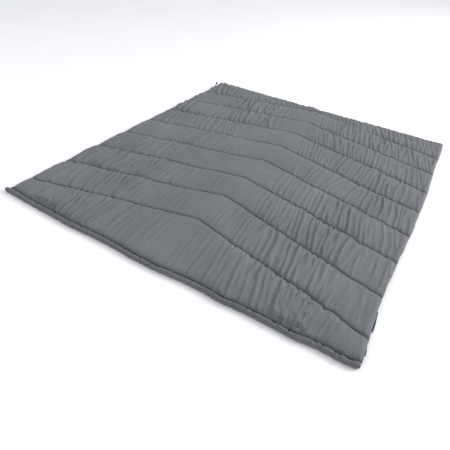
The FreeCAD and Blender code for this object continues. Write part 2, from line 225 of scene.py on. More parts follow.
def relax(p, target, free, rest, push, steps, iters, bend, damp, shear):
    """Settle the cloth points p in place. free is 0 where the cloth is sewn down,
    and bend smooths the departure from the target shape."""
    bend = np.broadcast_to(bend, free.shape) * free
    links = joins(*p.shape[:2], rest, shear)
    before = p.copy()
    for _ in range(steps):
        speed = (p - before) * damp
        before = p.copy()
        p += speed * free[..., None]
        push(p, free)
        for _ in range(iters):
            for a, b, rest_length, stiff in links:
                tug(p[a], p[b], free[a], free[b], rest_length, stiff)
        dev = p - target
        lap = np.zeros_like(p)
        lap[1:-1] += (dev[:-2] + dev[2:] - 2 * dev[1:-1]) * 0.25
        lap[:, 1:-1] += (dev[:, :-2] + dev[:, 2:] - 2 * dev[:, 1:-1]) * 0.25
        p += lap * bend[..., None]
    return p


def metric(target, extra_x, extra_y):
    """Rest lengths of the cloth: the stitched shape times its extra length."""
    rest_x = length(np.diff(target, axis=1)) * (1 + (extra_x[:, 1:] + extra_x[:, :-1]) / 2)
    rest_y = length(np.diff(target, axis=0)) * (1 + (extra_y[1:] + extra_y[:-1]) / 2)
    extra = (extra_x[1:, 1:] + extra_x[:-1, :-1] + extra_y[1:, 1:] + extra_y[:-1, :-1]) / 4
    down = length(target[1:, 1:] - target[:-1, :-1]) * (1 + extra)
    up = length(target[:-1, 1:] - target[1:, :-1]) * (1 + extra)
    return rest_x, rest_y, down, up


def up2(grid):
    """Twice the grid resolution, keeping every old line."""
    def once(a):
        n = a.shape[0]
        out = np.empty((2 * n - 1,) + a.shape[1:])
        out[::2] = a
        between = (a[:-1] + a[1:]) * 0.5
        if n > 3:
            between[1:-1] = (9 * (a[1:-2] + a[2:-1]) - (a[:-3] + a[3:])) / 16.0
        out[1::2] = between
        return out
    return once(once(grid).swapaxes(0, 1)).swapaxes(0, 1)


# ------------------------------------------------------------------ sections
def edge_section(height, bulge):
    """From the sewn edge the cloth bulges outward, climbs and turns in. Returns
    distance along, outward offset and share of the height climbed."""
    t = np.linspace(0, 1, 240)[:, None]
    knots = np.array([[0, 0], [bulge * 1.5, 0.10], [bulge * 1.35, 1.06], [-SECTION_IN, 1.0]])
    curve = ((1 - t) ** 3 * knots[0] + 3 * (1 - t) ** 2 * t * knots[1]
             + 3 * (1 - t) * t * t * knots[2] + t ** 3 * knots[3])
    run = np.hypot(np.diff(curve[:, 0]), np.diff(curve[:, 1]) * height)
    return np.concatenate([[0], np.cumsum(run)]), curve[:, 0], curve[:, 1]


def columns(step, fine, sides, height):
    """Pattern columns from left to right; sides holds (edge x, bulge) of each.
    Returns x over the padding, x at the stitches, share of the height, distance
    in from the edge as a share of the edge section, and the fold's column."""
    halves = []
    for edge_x, bulge in sides:
        s, out, climb = edge_section(height, bulge)
        total = edge_x - SECTION_IN + s[-1]
        u = np.linspace(0, total, 4000)
        # closer columns near the fold and again near the edge
        space = step * (0.5 + 0.5 * rise(u, 0.035, 0.11))
        space *= 1 - 0.25 * sstep((u - (total - s[-1] - 0.02)) / 0.03)
        n = np.concatenate([[0], np.cumsum(np.diff(u) / ((space[1:] + space[:-1]) / 2))])
        count = int(round(n[-1])) * fine
        at = np.interp(np.linspace(0, n[-1], count + 1), n, u)
        left_over = total - at
        on_edge = left_over < s[-1]
        halves.append((
            np.where(on_edge, edge_x + np.interp(left_over, s, out), at),
            np.where(on_edge, edge_x - SECTION_IN * left_over / s[-1], at),
            np.where(on_edge, np.interp(left_over, s, climb), 1.0),
            np.clip(left_over / s[-1], 0, 1)))
    full, flat, up, inset = (np.concatenate([sign * left[::-1], right[1:]])
                             for sign, left, right in zip((-1, -1, 1, 1), *halves))
    return full, flat, up, inset, len(halves[0][0]) - 1


def seam_y(k, x):
    """A seam falls away either side of the fold, rounded there, and wavers."""
    base = SEAM_MID[k] - SEAM_DROP * (np.sqrt(x * x + 0.012 ** 2) - 0.012)
    waver = (0.0050 * noise1(x, 0.31, 40 + k) + 0.0024 * noise1(x, 0.11, 60 + k)
             + 0.0015 * noise1(x, 0.045, 80 + k))
    return base + waver


def pillow(gap, width):
    """Height factor across a channel, gap in from its nearer seam: it climbs
    steeply beside the stitches, then rounds over to a nearly flat crown."""
    steep = 1 - np.exp(-(gap / 0.0042) ** 1.05)
    slow = 1 - np.exp(-gap / 0.024)
    arch = np.sin(np.pi / 2 * np.clip(2 * gap / width, 0, 1))
    return 0.55 * steep + 0.25 * slow + 0.20 * arch


def foot_channel(start, end, top):
    """Last channel: a seam on one side, the rounded foot edge on the other.
    Returns y, the height factor, and that of the rounded part alone."""
    width = end - start
    depth = np.minimum(SECTION_IN, 0.46 * width)
    s, out, climb = edge_section(height=0.026 if top else 0.009,
                                 bulge=0.0055 if top else 0.002)
    across = np.linspace(0, 1, FOOT_FLAT)[:, None] * (width - depth)
    flat_factor = pillow(across, np.maximum(width, 0.04))
    at = np.linspace(s[-1], 0, FOOT_ROUND + 1)[1:, None]
    offset = np.interp(at, s, out)
    offset = np.where(offset < 0, offset / SECTION_IN * depth, offset)
    round_factor = np.interp(at, s, climb) * np.ones_like(width)
    return (np.concatenate([start + across, end + offset]),
            np.concatenate([flat_factor, round_factor * flat_factor[-1]]), round_factor)


def shape_foot(y, z, flat, round_factor):
    """Local shape of the lining's foot channel."""
    share = np.linspace(0, 1, FOOT_FLAT)
    # the edge swells out a little beside the head of the zip's foot run
    bulge = bell(flat + 0.075, 0.034)
    y[FOOT_FLAT:] += 0.012 * bulge * round_factor
    z = z + 0.0058 * bulge * np.concatenate([share[:, None] * round_factor[0], round_factor])
    # loose cloth of the right half rides over the last seam
    loose = rise(flat, 0.015, 0.05) * fade(flat, 0.42, 0.16)
    low = np.concatenate([1 - share, np.zeros(FOOT_ROUND)])[:, None]
    z = z - (z - SEAM_Z) * 0.42 * low ** 1.5 * loose
    lean = bell(z - 0.020, 0.009)
    lean[len(lean) // 2:] = 0
    return y - 0.015 * lean * loose, z


def shape_lining(X, Y, Z, puff, flat, inset):
    """Hem, uneven wadding and the nip at the foot, in place."""
    # the right hem lies over the teeth; seam ends stick out as small cusps
    edge = np.where(flat > 0, 1 - inset, 0)
    Z += (HEM_Z - EDGE_Z) * edge ** 2
    X += edge ** 1.5 * (0.0026 * (1 - puff) ** 2 - 0.0008 + 0.0012 * noise1(Y, 0.06, 302))
    # wadding is never even
    lumps = 0.0012 * noise2(X, Y, 0.19, 0.14, 21) + 0.0010 * noise2(X, Y, 0.075, 0.065, 22)
    Z += puff * inset * lumps * rise(np.abs(X), 0.02, 0.06)
    # the foot edge is nipped in where the fold meets it
    nip = bell(X - 0.001, 0.0080) * rise(Y, 0.965, 0.04) * fade(Y, 1.110, 0.04)
    Z -= 0.015 * nip * puff


def shape_shell(X, Y, flat, inset):
    """The shell swells out under the zip near the head end of the right side,
    in two places along y, in place."""
    reach = 0.039
    swell = ((0.0300 * fade(Y, -0.845, 0.05) + 0.0070 * fade(Y, -0.935, 0.10))
             * rise(Y, -0.990, 0.035)
             + (0.0300 * fade(Y, -1.040, 0.025) + 0.0050 * fade(Y, -1.075, 0.04))
             * rise(Y, -1.115, 0.025)) / reach
    X += np.where(flat > 0, (1 - np.abs(2 * inset - 0.9)).clip(0, 1), 0) * swell * reach


def sheet_grid(step, fine, top):
    """Target shape of a sheet. Returns its points, the seam rows, the distance to
    the nearer seam, the column insets and the fold's column."""
    if top:
        crown = CROWN_Z - 0.0050
        across = columns(step, fine, ((SIDE_X, 0.0050), (HEM_X, 0.0032)), crown - EDGE_Z)
        seam_z, edge_z, head_z, climb = SEAM_Z, EDGE_Z, HEAD_Z, crown - SEAM_Z
    else:
        across = columns(step, fine, ((SIDE_X + 0.0005, 0.0022),) * 2, 0.009)
        seam_z, edge_z, head_z = SHELL_SEAM_Z, SHELL_EDGE_Z, HEAD_SHELL_Z
        climb = -(SHELL_SEAM_Z - 0.0006)
    full, flat, up, inset, mid = across
    n = len(full)
    # cloth length across the head channel, the seven between and the foot channel
    counts = [fine * int(round(v / step)) for v in [0.36] + [0.29] * 7 + [0.235]]
    lines = ([HEAD_Y + head_shift(flat)] + [seam_y(k, flat) for k in range(SEAMS)]
             + [np.full(n, FOOT_Y) + 0.0010 * noise1(flat, 0.09, 95)])
    rows, channels = [0], []
    q = np.linspace(0, 1, 161)[:, None]
    for k, count in enumerate(counts):
        start, end = lines[k], lines[k + 1]
        width = end - start
        last = k == CHANNELS - 1
        if last:
            y, factor, round_factor = foot_channel(start, end, top)
        else:
            y = start + q * width
            factor = pillow(np.minimum(q, 1 - q) * width, width)
            if not top:
                factor = np.clip(factor * 1.3, 0, 1)
        z = seam_z + climb * factor
        if last:
            # comes down to the edge height rather than the stitch height
            z[FOOT_FLAT:] = edge_z + (z[FOOT_FLAT - 1] - edge_z) * round_factor
            if top:
                y, z = shape_foot(y, z, flat, round_factor)
        if k == 0:
            # starts from the collar seam, held down a little further in
            if top:
                y = y + 0.0022 * rise(z, 0.010, 0.008) * fade(q, 0.1, 0.2)
            z = z + (head_z - seam_z) * bell(q * width, 0.02)
        # even spacing along the section
        run = np.concatenate([np.zeros((1, n)),
                              np.cumsum(np.hypot(np.diff(y, axis=0), np.diff(z, axis=0)), 0)])
        gap = np.minimum(run, run[-1] - run)
        share = np.linspace(0, 1, count + 1)
        even = np.empty((3, count + 1, n))
        for col in range(n):
            at = share * run[-1, col]
            for out, values in zip(even, (y, z, gap)):
                out[:, col] = np.interp(at, run[:, col], values[:, col])
        channels.append(even if last else even[:, :-1])
        rows.append(rows[-1] + count)
    Y, Z, seam_gap = np.concatenate(channels, axis=1)
    puff = np.clip((Z - seam_z) / climb, 0, 1)
    X = lerp(flat, full, sstep(puff * 1.5))
    Z = edge_z + (Z - edge_z) * up
    if top:
        shape_lining(X, Y, Z, puff, flat, inset)
    else:
        shape_shell(X, Y, flat, inset)
    X = shift_side(X, Y)
    return np.stack([X, Y, Z], -1), rows, seam_gap, inset, mid


# ------------------------------------------------------------------ gathers
def crest(luck, x, y):
    """Height factor and lean of the fold at x, y. luck holds random shares."""
    group = np.clip(0.75 + 0.48 * noise2(x, y, 0.21, 0.23, 111)
                    + 0.20 * noise2(x, y, 0.08, 0.1, 112), 0.28, 1.45)
    # stronger to the right, and more so toward the left edge
    footward = sstep((y - 0.0) / 0.35)
    amp = (sstep((x - 0.20 + 0.32 * footward) / 0.20)
           + sstep((-x - 0.12 + 0.12 * footward) / 0.36) * 2.3)
    if y < -0.72:
        amp *= 1 - 0.85 * rise(x, 0.70, 0.08)
    amp = max(amp, 0.45 if y > -0.86 else 0.7) * group
    amp *= rise(abs(x), 0.035, 0.05)
    lean = (0.026 + 0.028 * noise2(x, y, 0.3, 0.3, 113) + 0.030 * (luck[0] - 0.5)
            + 0.034 * rise(y, 0.25, 0.35))
    # cloth drawn toward the pocket at the head end
    lean += 0.05 * sstep((-y - 0.80) / 0.1) * math.exp(-((x - 0.47) / 0.13) ** 2)
    if x < 0:
        lean -= 0.015 * fade(y, 0.2, 0.3)
        lean += 0.020 * noise2(x, y, 0.11, 0.12, 114)
    return amp, lean


def gathers(target, rows, seam_gap):
    """Folds that the gathered cloth falls into between two seams: each one a
    leaning, slightly curved crest, often forked, fading out at one end."""
    rng = np.random.default_rng(151)
    X, out = target[..., 0], np.zeros(target.shape[:2])
    for k in range(CHANNELS):
        start, end = rows[k], rows[k + 1]
        v = np.linspace(0, 1, end - start + 1)
        line_x, line_y = target[(start + end) // 2, :, :2].T
        n = len(line_x)
        x = -0.985
        while x < 0.985:
            y = line_y[int(np.clip(np.searchsorted(line_x, x), 0, n - 1))]
            luck = rng.random(10)
            amp, lean = crest(luck, np.array(x), np.array(y))
            bow = (0.030 if x < 0 else 0.018) * (luck[1] - 0.5)
            # where along the channel the crest starts and stops
            begin, stop = -0.15 - 0.3 * luck[3], 1.2
            if luck[2] > 0.85:
                begin, stop = -0.2, 0.45 + 0.35 * luck[3]
            elif luck[2] > 0.55:
                begin = 0.10 + 0.45 * luck[3]
            width = (0.0062 if x < 0 else 0.0066) + 0.0052 * luck[4]
            height = (0.0024 + 0.0046 * luck[5] ** 1.3) * amp
            skew = 0.35 * (luck[6] - 0.62)
            arms = [(0.0, begin, height)]       # sideways reach, start, height
            if luck[7] > 0.55:
                reach = (0.018 + 0.014 * luck[8]) * (1 if luck[9] > 0.4 else -1)
                arms.append((reach, 0.38, height * 0.8))
            for fork, low, high in arms:
                centre = (x + lean * (0.5 - v) + bow * np.sin(math.pi * v)
                          + fork * np.clip((v - 0.42) / 0.58, 0, 1) ** 1.3
                          + (0.0036 if x < 0 else 0.0024)
                          * noise1(v * 0.25 + x * 0.7, 0.07, 120 + k))
                env = rise(v, low, 0.28) * sstep((stop - v) / 0.25)
                # only the columns the crest reaches
                first = int(np.clip(np.searchsorted(line_x, centre.min() - 0.035), 0, n - 1))
                last = int(np.clip(np.searchsorted(line_x, centre.max() + 0.035), first + 1, n))
                u = X[start:end + 1, first:last] - centre[:, None]
                wide = width * np.where(u > 0, 1 + skew, 1 - skew)
                section = np.exp(-(np.abs(u) / wide) ** 1.6) - 0.40 * bell(u, wide * 2.1)
                out[start:end + 1, first:last] += high * env[:, None] * section
            x += (0.028 if x > 0 else 0.023) * (0.7 + 0.75 * rng.random())
    # the folds die out as they run into a seam, over a longer way on the left
    return out * sstep(seam_gap / (0.018 + 0.020 * sstep((0.10 - X) / 0.25)))


# ------------------------------------------------------------------ quilt sheets
# one row per grid level: steps, iterations, damping, starting scatter in z, and
# the share of the extra cloth toward the left edge
LINING_LEVELS = ((60, 4, 0.85, 0.0016, 0.25), (30, 3, 0.8, 0.0007, 0.8),
                 (14, 2, 0.7, 0.00025, 1.0))
SHELL_LEVELS = ((50, 3, 0.85, 0.001, 0.0), (14, 2, 0.7, 0.0001, 0.0))


def lining_extra(x, y, off_fold, left_share):
    """Extra cloth across x: long folds on the right, finer ones to the left."""
    patch = noise2(x, y, 0.24, 0.19, 11) + 0.5 * noise2(x, y, 0.1, 0.09, 13)
    extra = (0.020 + rise(x, 0.06, 0.22) * (0.060 + 0.040 * patch)
             + left_share * rise(-x, 0.22, 0.45) * (0.055 + 0.030 * patch))
    # calmer in the middle and at the right side of the head end
    calm = bell(x + 0.05, 0.42) * fade(y, -0.86, 0.1)
    calm = np.maximum(calm, rise(x, 0.76, 0.08) * fade(y, -0.72, 0.1))
    return np.clip(extra * (1 - 0.7 * calm), 0.010, 0.16) * (0.25 + 0.75 * off_fold)


def crease_lining(p, dev, free, rows, seam_gap, off_fold):
    """Small puckers drawn up by the stitches, and sharp creases of thin cloth."""
    soft = dev.copy()
    for _ in range(3):
        soft[1:-1] = (soft[:-2] + 2 * soft[1:-1] + soft[2:]) / 4
        soft[:, 1:-1] = (soft[:, :-2] + 2 * soft[:, 1:-1] + soft[:, 2:]) / 4
    p[..., 2] += free * 0.25 * (dev - soft)[..., 2]
    x, y, z = p[..., 0], p[..., 1], p[..., 2]
    # position across the folds, which lean away from the centre line
    across = (x + np.where(x < 0, 0.255, -0.255) * y * sstep(np.abs(x) / 0.25)) / 1.03
    across = (across + 0.010 * noise2(x, y, 0.11, 0.09, 33)
              + 0.005 * noise2(x, y, 0.05, 0.05, 34))
    near = np.exp(-seam_gap / 0.020) * sstep(seam_gap / 0.006)
    pucker = bell(noise2(across, y, 0.014, 0.05, 35), 0.55) - 0.45
    away = sstep(seam_gap / 0.02) * off_fold
    long_crease = bell(noise2(across, y * 0.9, 0.056, 0.16, 36), 0.26)
    short_crease = bell(noise2(across * 0.95 + 0.12 * y, y, 0.034, 0.10, 37), 0.30)
    amount = np.clip(0.45 + 0.5 * noise2(x, y, 0.17, 0.15, 38), 0.05, 1.2)
    head = np.zeros_like(x)
    half = rows[1] // 2
    head[:half] = bell(seam_gap[:half], 0.013)
    fine = (bell(noise2(across + 0.25 * y, y, 0.019, 0.055, 39), 0.40)
            - bell(noise2(across - 0.15 * y, y * 0.8, 0.027, 0.07, 40), 0.30))
    z += free * (0.0013 * near * pucker + 0.0024 * head * (pucker - 0.2)
                 + away * amount * (0.0008 * long_crease + 0.0006 * short_crease)
                 + 0.0006 * away * fine)
    # held down under the height of the fold
    over = np.clip(z - SOFT_TOP_Z, 0, None)
    room = TOP_Z - SOFT_TOP_Z
    p[..., 2] = np.where(z > SOFT_TOP_Z, SOFT_TOP_Z + over / (1 + over / room), z)


def even_fold(p, target, mid):
    """One even run of cloth across the fold line, where the two halves meet."""
    reach = 8                                    # columns each side of the fold
    a, b = p[:, mid - reach], p[:, mid + reach]
    target_a, target_b = target[:, mid - reach], target[:, mid + reach]
    for i in range(-reach + 1, reach):
        here = target[:, mid + i]
        mix = ((here[:, 0] - target_a[:, 0]) / (target_b[:, 0] - target_a[:, 0]))[:, None]
        even = a + (b - a) * mix
        even[:, 1:] += (here[:, 1:] - target_a[:, 1:]
                        - (target_b[:, 1:] - target_a[:, 1:]) * mix)
        p[:, mid + i] += (even - p[:, mid + i]) * sstep((reach - abs(i)) / (reach - 3.0))


def quilt_sheet(top):
    """The lining (top) or the outer shell (underneath) as a settled cloth, worked
    from a coarse grid to a fine one. Returns points, seam rows, fold column."""
    base = STEP * 2 if top else STEP * 1.4
    p = None
    for level, stage in enumerate(LINING_LEVELS if top else SHELL_LEVELS):
        steps, iters, damp, scatter, left_share = stage
        target, rows, seam_gap, inset, mid = sheet_grid(base, 2 ** level, top)
        x, y = target[..., 0], target[..., 1]
        off_fold = rise(np.abs(x), 0.03, 0.09)
        if top:
            if level > 0:
                target[..., 2] += (gathers(target, rows, seam_gap)
                                   * rise(np.abs(x), 0.03, 0.05) * sstep(inset / 0.5))
            extra_x = lining_extra(x, y, off_fold, left_share)
        else:
            extra_x = (np.clip(0.045 + 0.02 * noise2(x, y, 0.3, 0.2, 12), 0.01, 0.1)
                       * (0.3 + 0.7 * off_fold))
        extra_y = (0.020 if top else 0.008) + 0.040 * (1 - inset) * np.ones_like(x)
        free = np.ones_like(x)
        free[rows] = 0
        free[:, [0, -1]] = 0
        rng = np.random.default_rng((5 if top else 6) + 10 * level)
        p = target.copy() if p is None else target + up2(dev)
        p = np.where(free[..., None] > 0, p, target)
        p[..., 2] += free * rng.standard_normal(x.shape) * scatter
        # how firmly the cloth is held in plan: more near its edges
        hold = np.broadcast_to(0.004 + 0.05 * (1 - inset), x.shape).copy()
        hold[rows[SEAMS]:] = 0.04

        def push(q, free):
            lift = target[..., 2] - q[..., 2]
            firm = np.where(lift > 0, 0.016, 0.007) if top else 0.05
            q[..., 2] += lift * firm * free
            q[..., :2] += (target[..., :2] - q[..., :2]) * (hold * free)[..., None]
            if not top:
                np.maximum(q[..., 2], 0.0004, out=q[..., 2])

        p = relax(p, target, free, metric(target, extra_x, extra_y), push, steps, iters,
                  bend=0.18 if top else 0.2, damp=damp, shear=0.15)
        dev = p - target
    if top:
        crease_lining(p, dev, free, rows, seam_gap, off_fold)
    else:
        p[..., 2] = np.maximum(p[..., 2], 0.0004)
    even_fold(p, target, mid)
    return p, rows, mid


# ------------------------------------------------------------------ meshes
def mesh_object(name, verts, quads, tris=(), smooth=True):
    verts = np.asarray(verts, np.float32).reshape(-1, 3)
    quads = np.asarray(quads, np.int32).reshape(-1, 4)
    tris = np.asarray(tris, np.int32).reshape(-1, 3)
    mesh = bpy.data.meshes.new(name)
    mesh.vertices.add(len(verts))
    mesh.vertices.foreach_set("co", verts.ravel())
    corners = np.concatenate([quads.ravel(), tris.ravel()]).astype(np.int32)
    mesh.loops.add(len(corners))
    mesh.loops.foreach_set("vertex_index", corners)
    quad_count, tri_count = len(quads), len(tris)
    mesh.polygons.add(quad_count + tri_count)
    starts = np.concatenate([np.arange(quad_count) * 4,
                             quad_count * 4 + np.arange(tri_count) * 3]).astype(np.int32)
    mesh.polygons.foreach_set("loop_start", starts)
    mesh.update(calc_edges=True)
    mesh.validate()
    mesh.polygons.foreach_set("use_smooth", np.full(quad_count + tri_count, smooth))
    mesh.update()
    ob = bpy.data.objects.new(name, mesh)
    bpy.context.scene.collection.objects.link(ob)
    return ob


def dress(ob, material, replaced=(), ride=None):
    """Give a piece its material and its place in the frame. A piece that rides no part keeps its
    placement baked into its points."""
    ob.data.materials.append(material)
    if ride:
        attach(ob, ride)
    else:
        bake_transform(ob)
    if replaced:
        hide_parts(*replaced)
    return ob


def grid_quads(rows, cols, flip=False):
    i = np.arange(rows * cols).reshape(rows, cols)
    quads = np.stack([i[:-1, :-1], i[:-1, 1:], i[1:, 1:], i[1:, :-1]], -1).reshape(-1, 4)
    return quads[:, ::-1] if flip else quads


def tube_quads(index):
    """Faces round a tube from its point indices, laid out (..., ring, around)."""
    beside = np.roll(index, -1, axis=-1)
    return np.stack([index[..., :-1, :], beside[..., :-1, :],
                     beside[..., 1:, :], index[..., 1:, :]], -1)


def capped_tube(rings):
    """Closed tube through equal rings, its ends fanned from their centres."""
    rings = np.array(rings)
    n, m = rings.shape[:2]
    index = np.arange(n * m).reshape(n, m)
    beside = np.roll(index, -1, axis=1)
    verts = np.concatenate([rings.reshape(-1, 3), [rings[0].mean(0), rings[-1].mean(0)]])
    tris = np.concatenate([np.stack([beside[0], index[0], np.full(m, n * m)], -1),
                           np.stack([index[-1], beside[-1], np.full(m, n * m + 1)], -1)])
    return verts, tube_quads(index).reshape(-1, 4), tris


def outward_tube(rings):
    """Capped tube with its faces turned to enclose a positive volume."""
    v, quads, tris = capped_tube(rings)
    volume = sum(np.einsum("ij,ij->i", v[a], np.cross(v[b], v[c])).sum() for a, b, c in
                 (quads[:, [0, 1, 2]].T, quads[:, [0, 2, 3]].T, tris.T))
    return (v, quads, tris) if volume > 0 else (v, quads[:, ::-1], tris[:, ::-1])


def cloth_shell(name, p, inside, thick):
    """Closed cloth: the fine outer face, a coarser inner face inside thickness
    away, and a rim. inside is -1 when the inner face lies below, +1 above."""
    rows, cols = p.shape[:2]
    normal = unit(np.cross(np.gradient(p, axis=1), np.gradient(p, axis=0)))
    normal[np.abs(p[..., 0]) < 0.001] *= np.array([0, 1, 1])
    inner = p + normal * (inside * thick)
    if inside > 0:
        inner[..., 2] = np.maximum(inner[..., 2], 0.0009)
    inner = inner[::2, ::2]
    in_rows, in_cols = inner.shape[:2]
    # the rim at the fold has its own points, so that the two halves shade as
    # one cloth where they meet
    left = abs(float(p[rows // 2, -1, 0])) < abs(float(p[rows // 2, 0, 0]))
    at = -1 if left else 0
    base = rows * cols
    verts = np.concatenate([p.reshape(-1, 3), inner.reshape(-1, 3), p[:, at], inner[:, at]])
    fine = np.arange(base).reshape(rows, cols)
    coarse = base + np.arange(in_rows * in_cols).reshape(in_rows, in_cols)
    fold_fine = base + in_rows * in_cols + np.arange(rows)
    fold_coarse = fold_fine[-1] + 1 + np.arange(in_rows)
    above = inside < 0

    def rim(f, c, flip):
        f0, f1, f2 = f[:-2:2], f[1:-1:2], f[2::2]
        c0, c1 = c[:-1], c[1:]
        tris = np.concatenate([np.stack([f0, c0, f1], -1), np.stack([f1, c0, c1], -1),
                               np.stack([f1, c1, f2], -1)])
        return tris[:, ::-1] if flip else tris

    fold = fold_fine, fold_coarse
    tris = [rim(fine[0], coarse[0], not above),
            rim(fine[-1], coarse[-1], above),
            rim(*((fine[:, 0], coarse[:, 0]) if left else fold), above),
            rim(*(fold if left else (fine[:, -1], coarse[:, -1])), not above)]
    quads = [grid_quads(rows, cols, not above), grid_quads(in_rows, in_cols, above) + base]
    return mesh_object(name, verts, np.concatenate(quads), np.concatenate(tris))


# ------------------------------------------------------------------ shader nodes
def feed(tree, target, inputs):
    """Set a node's inputs; a socket is linked, anything else is a value."""
    for key, value in inputs.items():
        if isinstance(value, bpy.types.NodeSocket):
            tree.links.new(value, target.inputs[key])
        else:
            target.inputs[key].default_value = value


def node(tree, kind, inputs, **settings):
    made = tree.nodes.new(kind)
    for key, value in settings.items():
        setattr(made, key, value)
    feed(tree, made, inputs)
    return made


def new_mat(name):
    material = bpy.data.materials.new(name)
    material.use_nodes = True
    tree = material.node_tree
    tree.nodes.clear()
    out = tree.nodes.new("ShaderNodeOutputMaterial")
    bsdf = tree.nodes.new("ShaderNodeBsdfPrincipled")
    tree.links.new(bsdf.outputs[0], out.inputs[0])
    return material, tree, bsdf


def coords(tree, scale=(1, 1, 1)):
    place = node(tree, "ShaderNodeTexCoord", {}).outputs["Object"]
    return node(tree, "ShaderNodeMapping", {0: place, "Scale": scale}).outputs[0]


def noise_tex(tree, vector, scale, detail=2.0, rough=0.5):
    return node(tree, "ShaderNodeTexNoise", {
        "Vector": vector, "Scale": scale, "Detail": detail, "Roughness": rough}).outputs["Fac"]


def bands_tex(tree, vector, scale, distortion):
    return node(tree, "ShaderNodeTexWave",
                {"Vector": vector, "Scale": scale, "Distortion": distortion},
                wave_type="BANDS", bands_direction="DIAGONAL").outputs["Fac"]


def calc(tree, operation, *values):
    return node(tree, "ShaderNodeMath", dict(enumerate(values)), operation=operation).outputs[0]


def weighted_sum(tree, *terms):
    """Sum of (socket, weight) terms."""
    total = calc(tree, "MULTIPLY", *terms[0])
    for term in terms[1:]:
        total = calc(tree, "ADD", total, calc(tree, "MULTIPLY", *term))
    return total


def vary_rough(tree, texture, rough, spread):
    """Roughness that follows a texture, centred on rough."""
    return calc(tree, "ADD", calc(tree, "MULTIPLY", texture, spread), rough - spread / 2)


def ramp(tree, fac, stops):
    """Colour ramp; stops holds (position, colour): first, last, then any between."""
    made = node(tree, "ShaderNodeValToRGB", {0: fac})
    elements = made.color_ramp.elements
    for i, (position, colour) in enumerate(stops):
        if i < 2:
            elements[i].position = position
            elements[i].color = colour + (1.0,)
        else:
            elements.new(position).color = colour + (1.0,)
    return made.outputs[0]


def bump(tree, height, strength, distance, normal=None):
    inputs = {"Strength": strength, "Distance": distance, "Height": height}
    if normal is not None:
        inputs["Normal"] = normal
    return node(tree, "ShaderNodeBump", inputs).outputs[0]


def weave(tree, pitch):
    """Plain weave height from two crossed yarn waves of this pitch."""
    axes = node(tree, "ShaderNodeSeparateXYZ", {0: coords(tree)}).outputs
    wave = math.pi / pitch
    # yarns run with the cloth, so Z stands in for depth on steep faces
    a, b = (calc(tree, "ADD", axes[i], calc(tree, "MULTIPLY", axes[2], 0.6)) for i in (0, 1))
    sine_a = calc(tree, "SINE", calc(tree, "MULTIPLY", a, wave))
    sine_b = calc(tree, "SINE", calc(tree, "MULTIPLY", b, wave))
    crossed = calc(tree, "MULTIPLY", sine_a, sine_b)
    warp = calc(tree, "ABSOLUTE", calc(tree, "SINE", calc(tree, "MULTIPLY", a, 2 * wave)))
    return weighted_sum(tree, (crossed, 0.5), (warp, 0.3))


# ------------------------------------------------------------------ materials
def cloth_material(name, dark, mid, light, rough, sheen, yarn=0.0009, streak=0.35,
                   sheen_tint=(1, 1, 1)):
    """Woven cloth; yarn is the weave pitch, streak the strength of its slubs."""
    material, tree, bsdf = new_mat(name)
    big = noise_tex(tree, coords(tree), scale=3.1, detail=3.0, rough=0.55)
    heather = noise_tex(tree, coords(tree, (1.0, 0.16, 0.6)), scale=420.0, rough=0.6)
    cross = noise_tex(tree, coords(tree, (0.14, 1.0, 0.6)), scale=380.0, rough=0.6)
    fuzz = noise_tex(tree, coords(tree), scale=95.0, detail=4.0, rough=0.62)
    mix = weighted_sum(tree, (big, 0.40), (heather, streak * 0.5), (cross, streak * 0.35),
                       (fuzz, 0.30))
    # crumple of the light cloth, then slubs, then the weave itself
    relief = 0.0005
    crumple = noise_tex(tree, coords(tree, (1.0, 0.45, 0.8)), scale=58.0, detail=3.0, rough=0.55)
    normal = bump(tree, crumple, strength=0.55, distance=relief * 3.0)
    normal = bump(tree, heather, strength=0.30, distance=relief * 0.5, normal=normal)
    normal = bump(tree, weave(tree, yarn), strength=0.35, distance=relief * 0.35,
                  normal=normal)
    feed(tree, bsdf, {
        "Base Color": ramp(tree, mix, [(0.30, dark), (0.72, light), (0.50, mid)]),
        "Roughness": vary_rough(tree, fuzz, rough, spread=0.16),
        "Sheen Weight": sheen,
        "Sheen Roughness": 0.45,
        "Sheen Tint": sheen_tint + (1.0,),
        "Specular IOR Level": 0.16,
        "Normal": normal})
    return material


def thread_material(name, dark, light):
    """Twisted thread or braid, banded on the diagonal."""
    material, tree, bsdf = new_mat(name)
    twist = bands_tex(tree, coords(tree), scale=900.0, distortion=0.6)
    feed(tree, bsdf, {
        "Base Color": ramp(tree, twist, [(0.2, dark), (0.8, light)]),
        "Roughness": 0.6,
        "Sheen Weight": 0.3,
        "Normal": bump(tree, twist, strength=0.5, distance=0.0002)})
    return material


def tape_material():
    """Dark twill tape with a little lint."""
    material, tree, bsdf = new_mat("zip_tape_weave")
    place = coords(tree)
    twill = bands_tex(tree, place, scale=420.0, distortion=1.2)
    lint = noise_tex(tree, place, scale=60.0, detail=3.0)
    mix = weighted_sum(tree, (twill, 0.6), (lint, 0.4))
    feed(tree, bsdf, {
        "Base Color": ramp(tree, mix, [(0.25, (0.010, 0.013, 0.019)),
                                       (0.8, (0.032, 0.038, 0.050))]),
        "Roughness": 0.78,
        "Sheen Weight": 0.25,
        "Normal": bump(tree, twill, strength=0.6, distance=0.0003)})
    return material


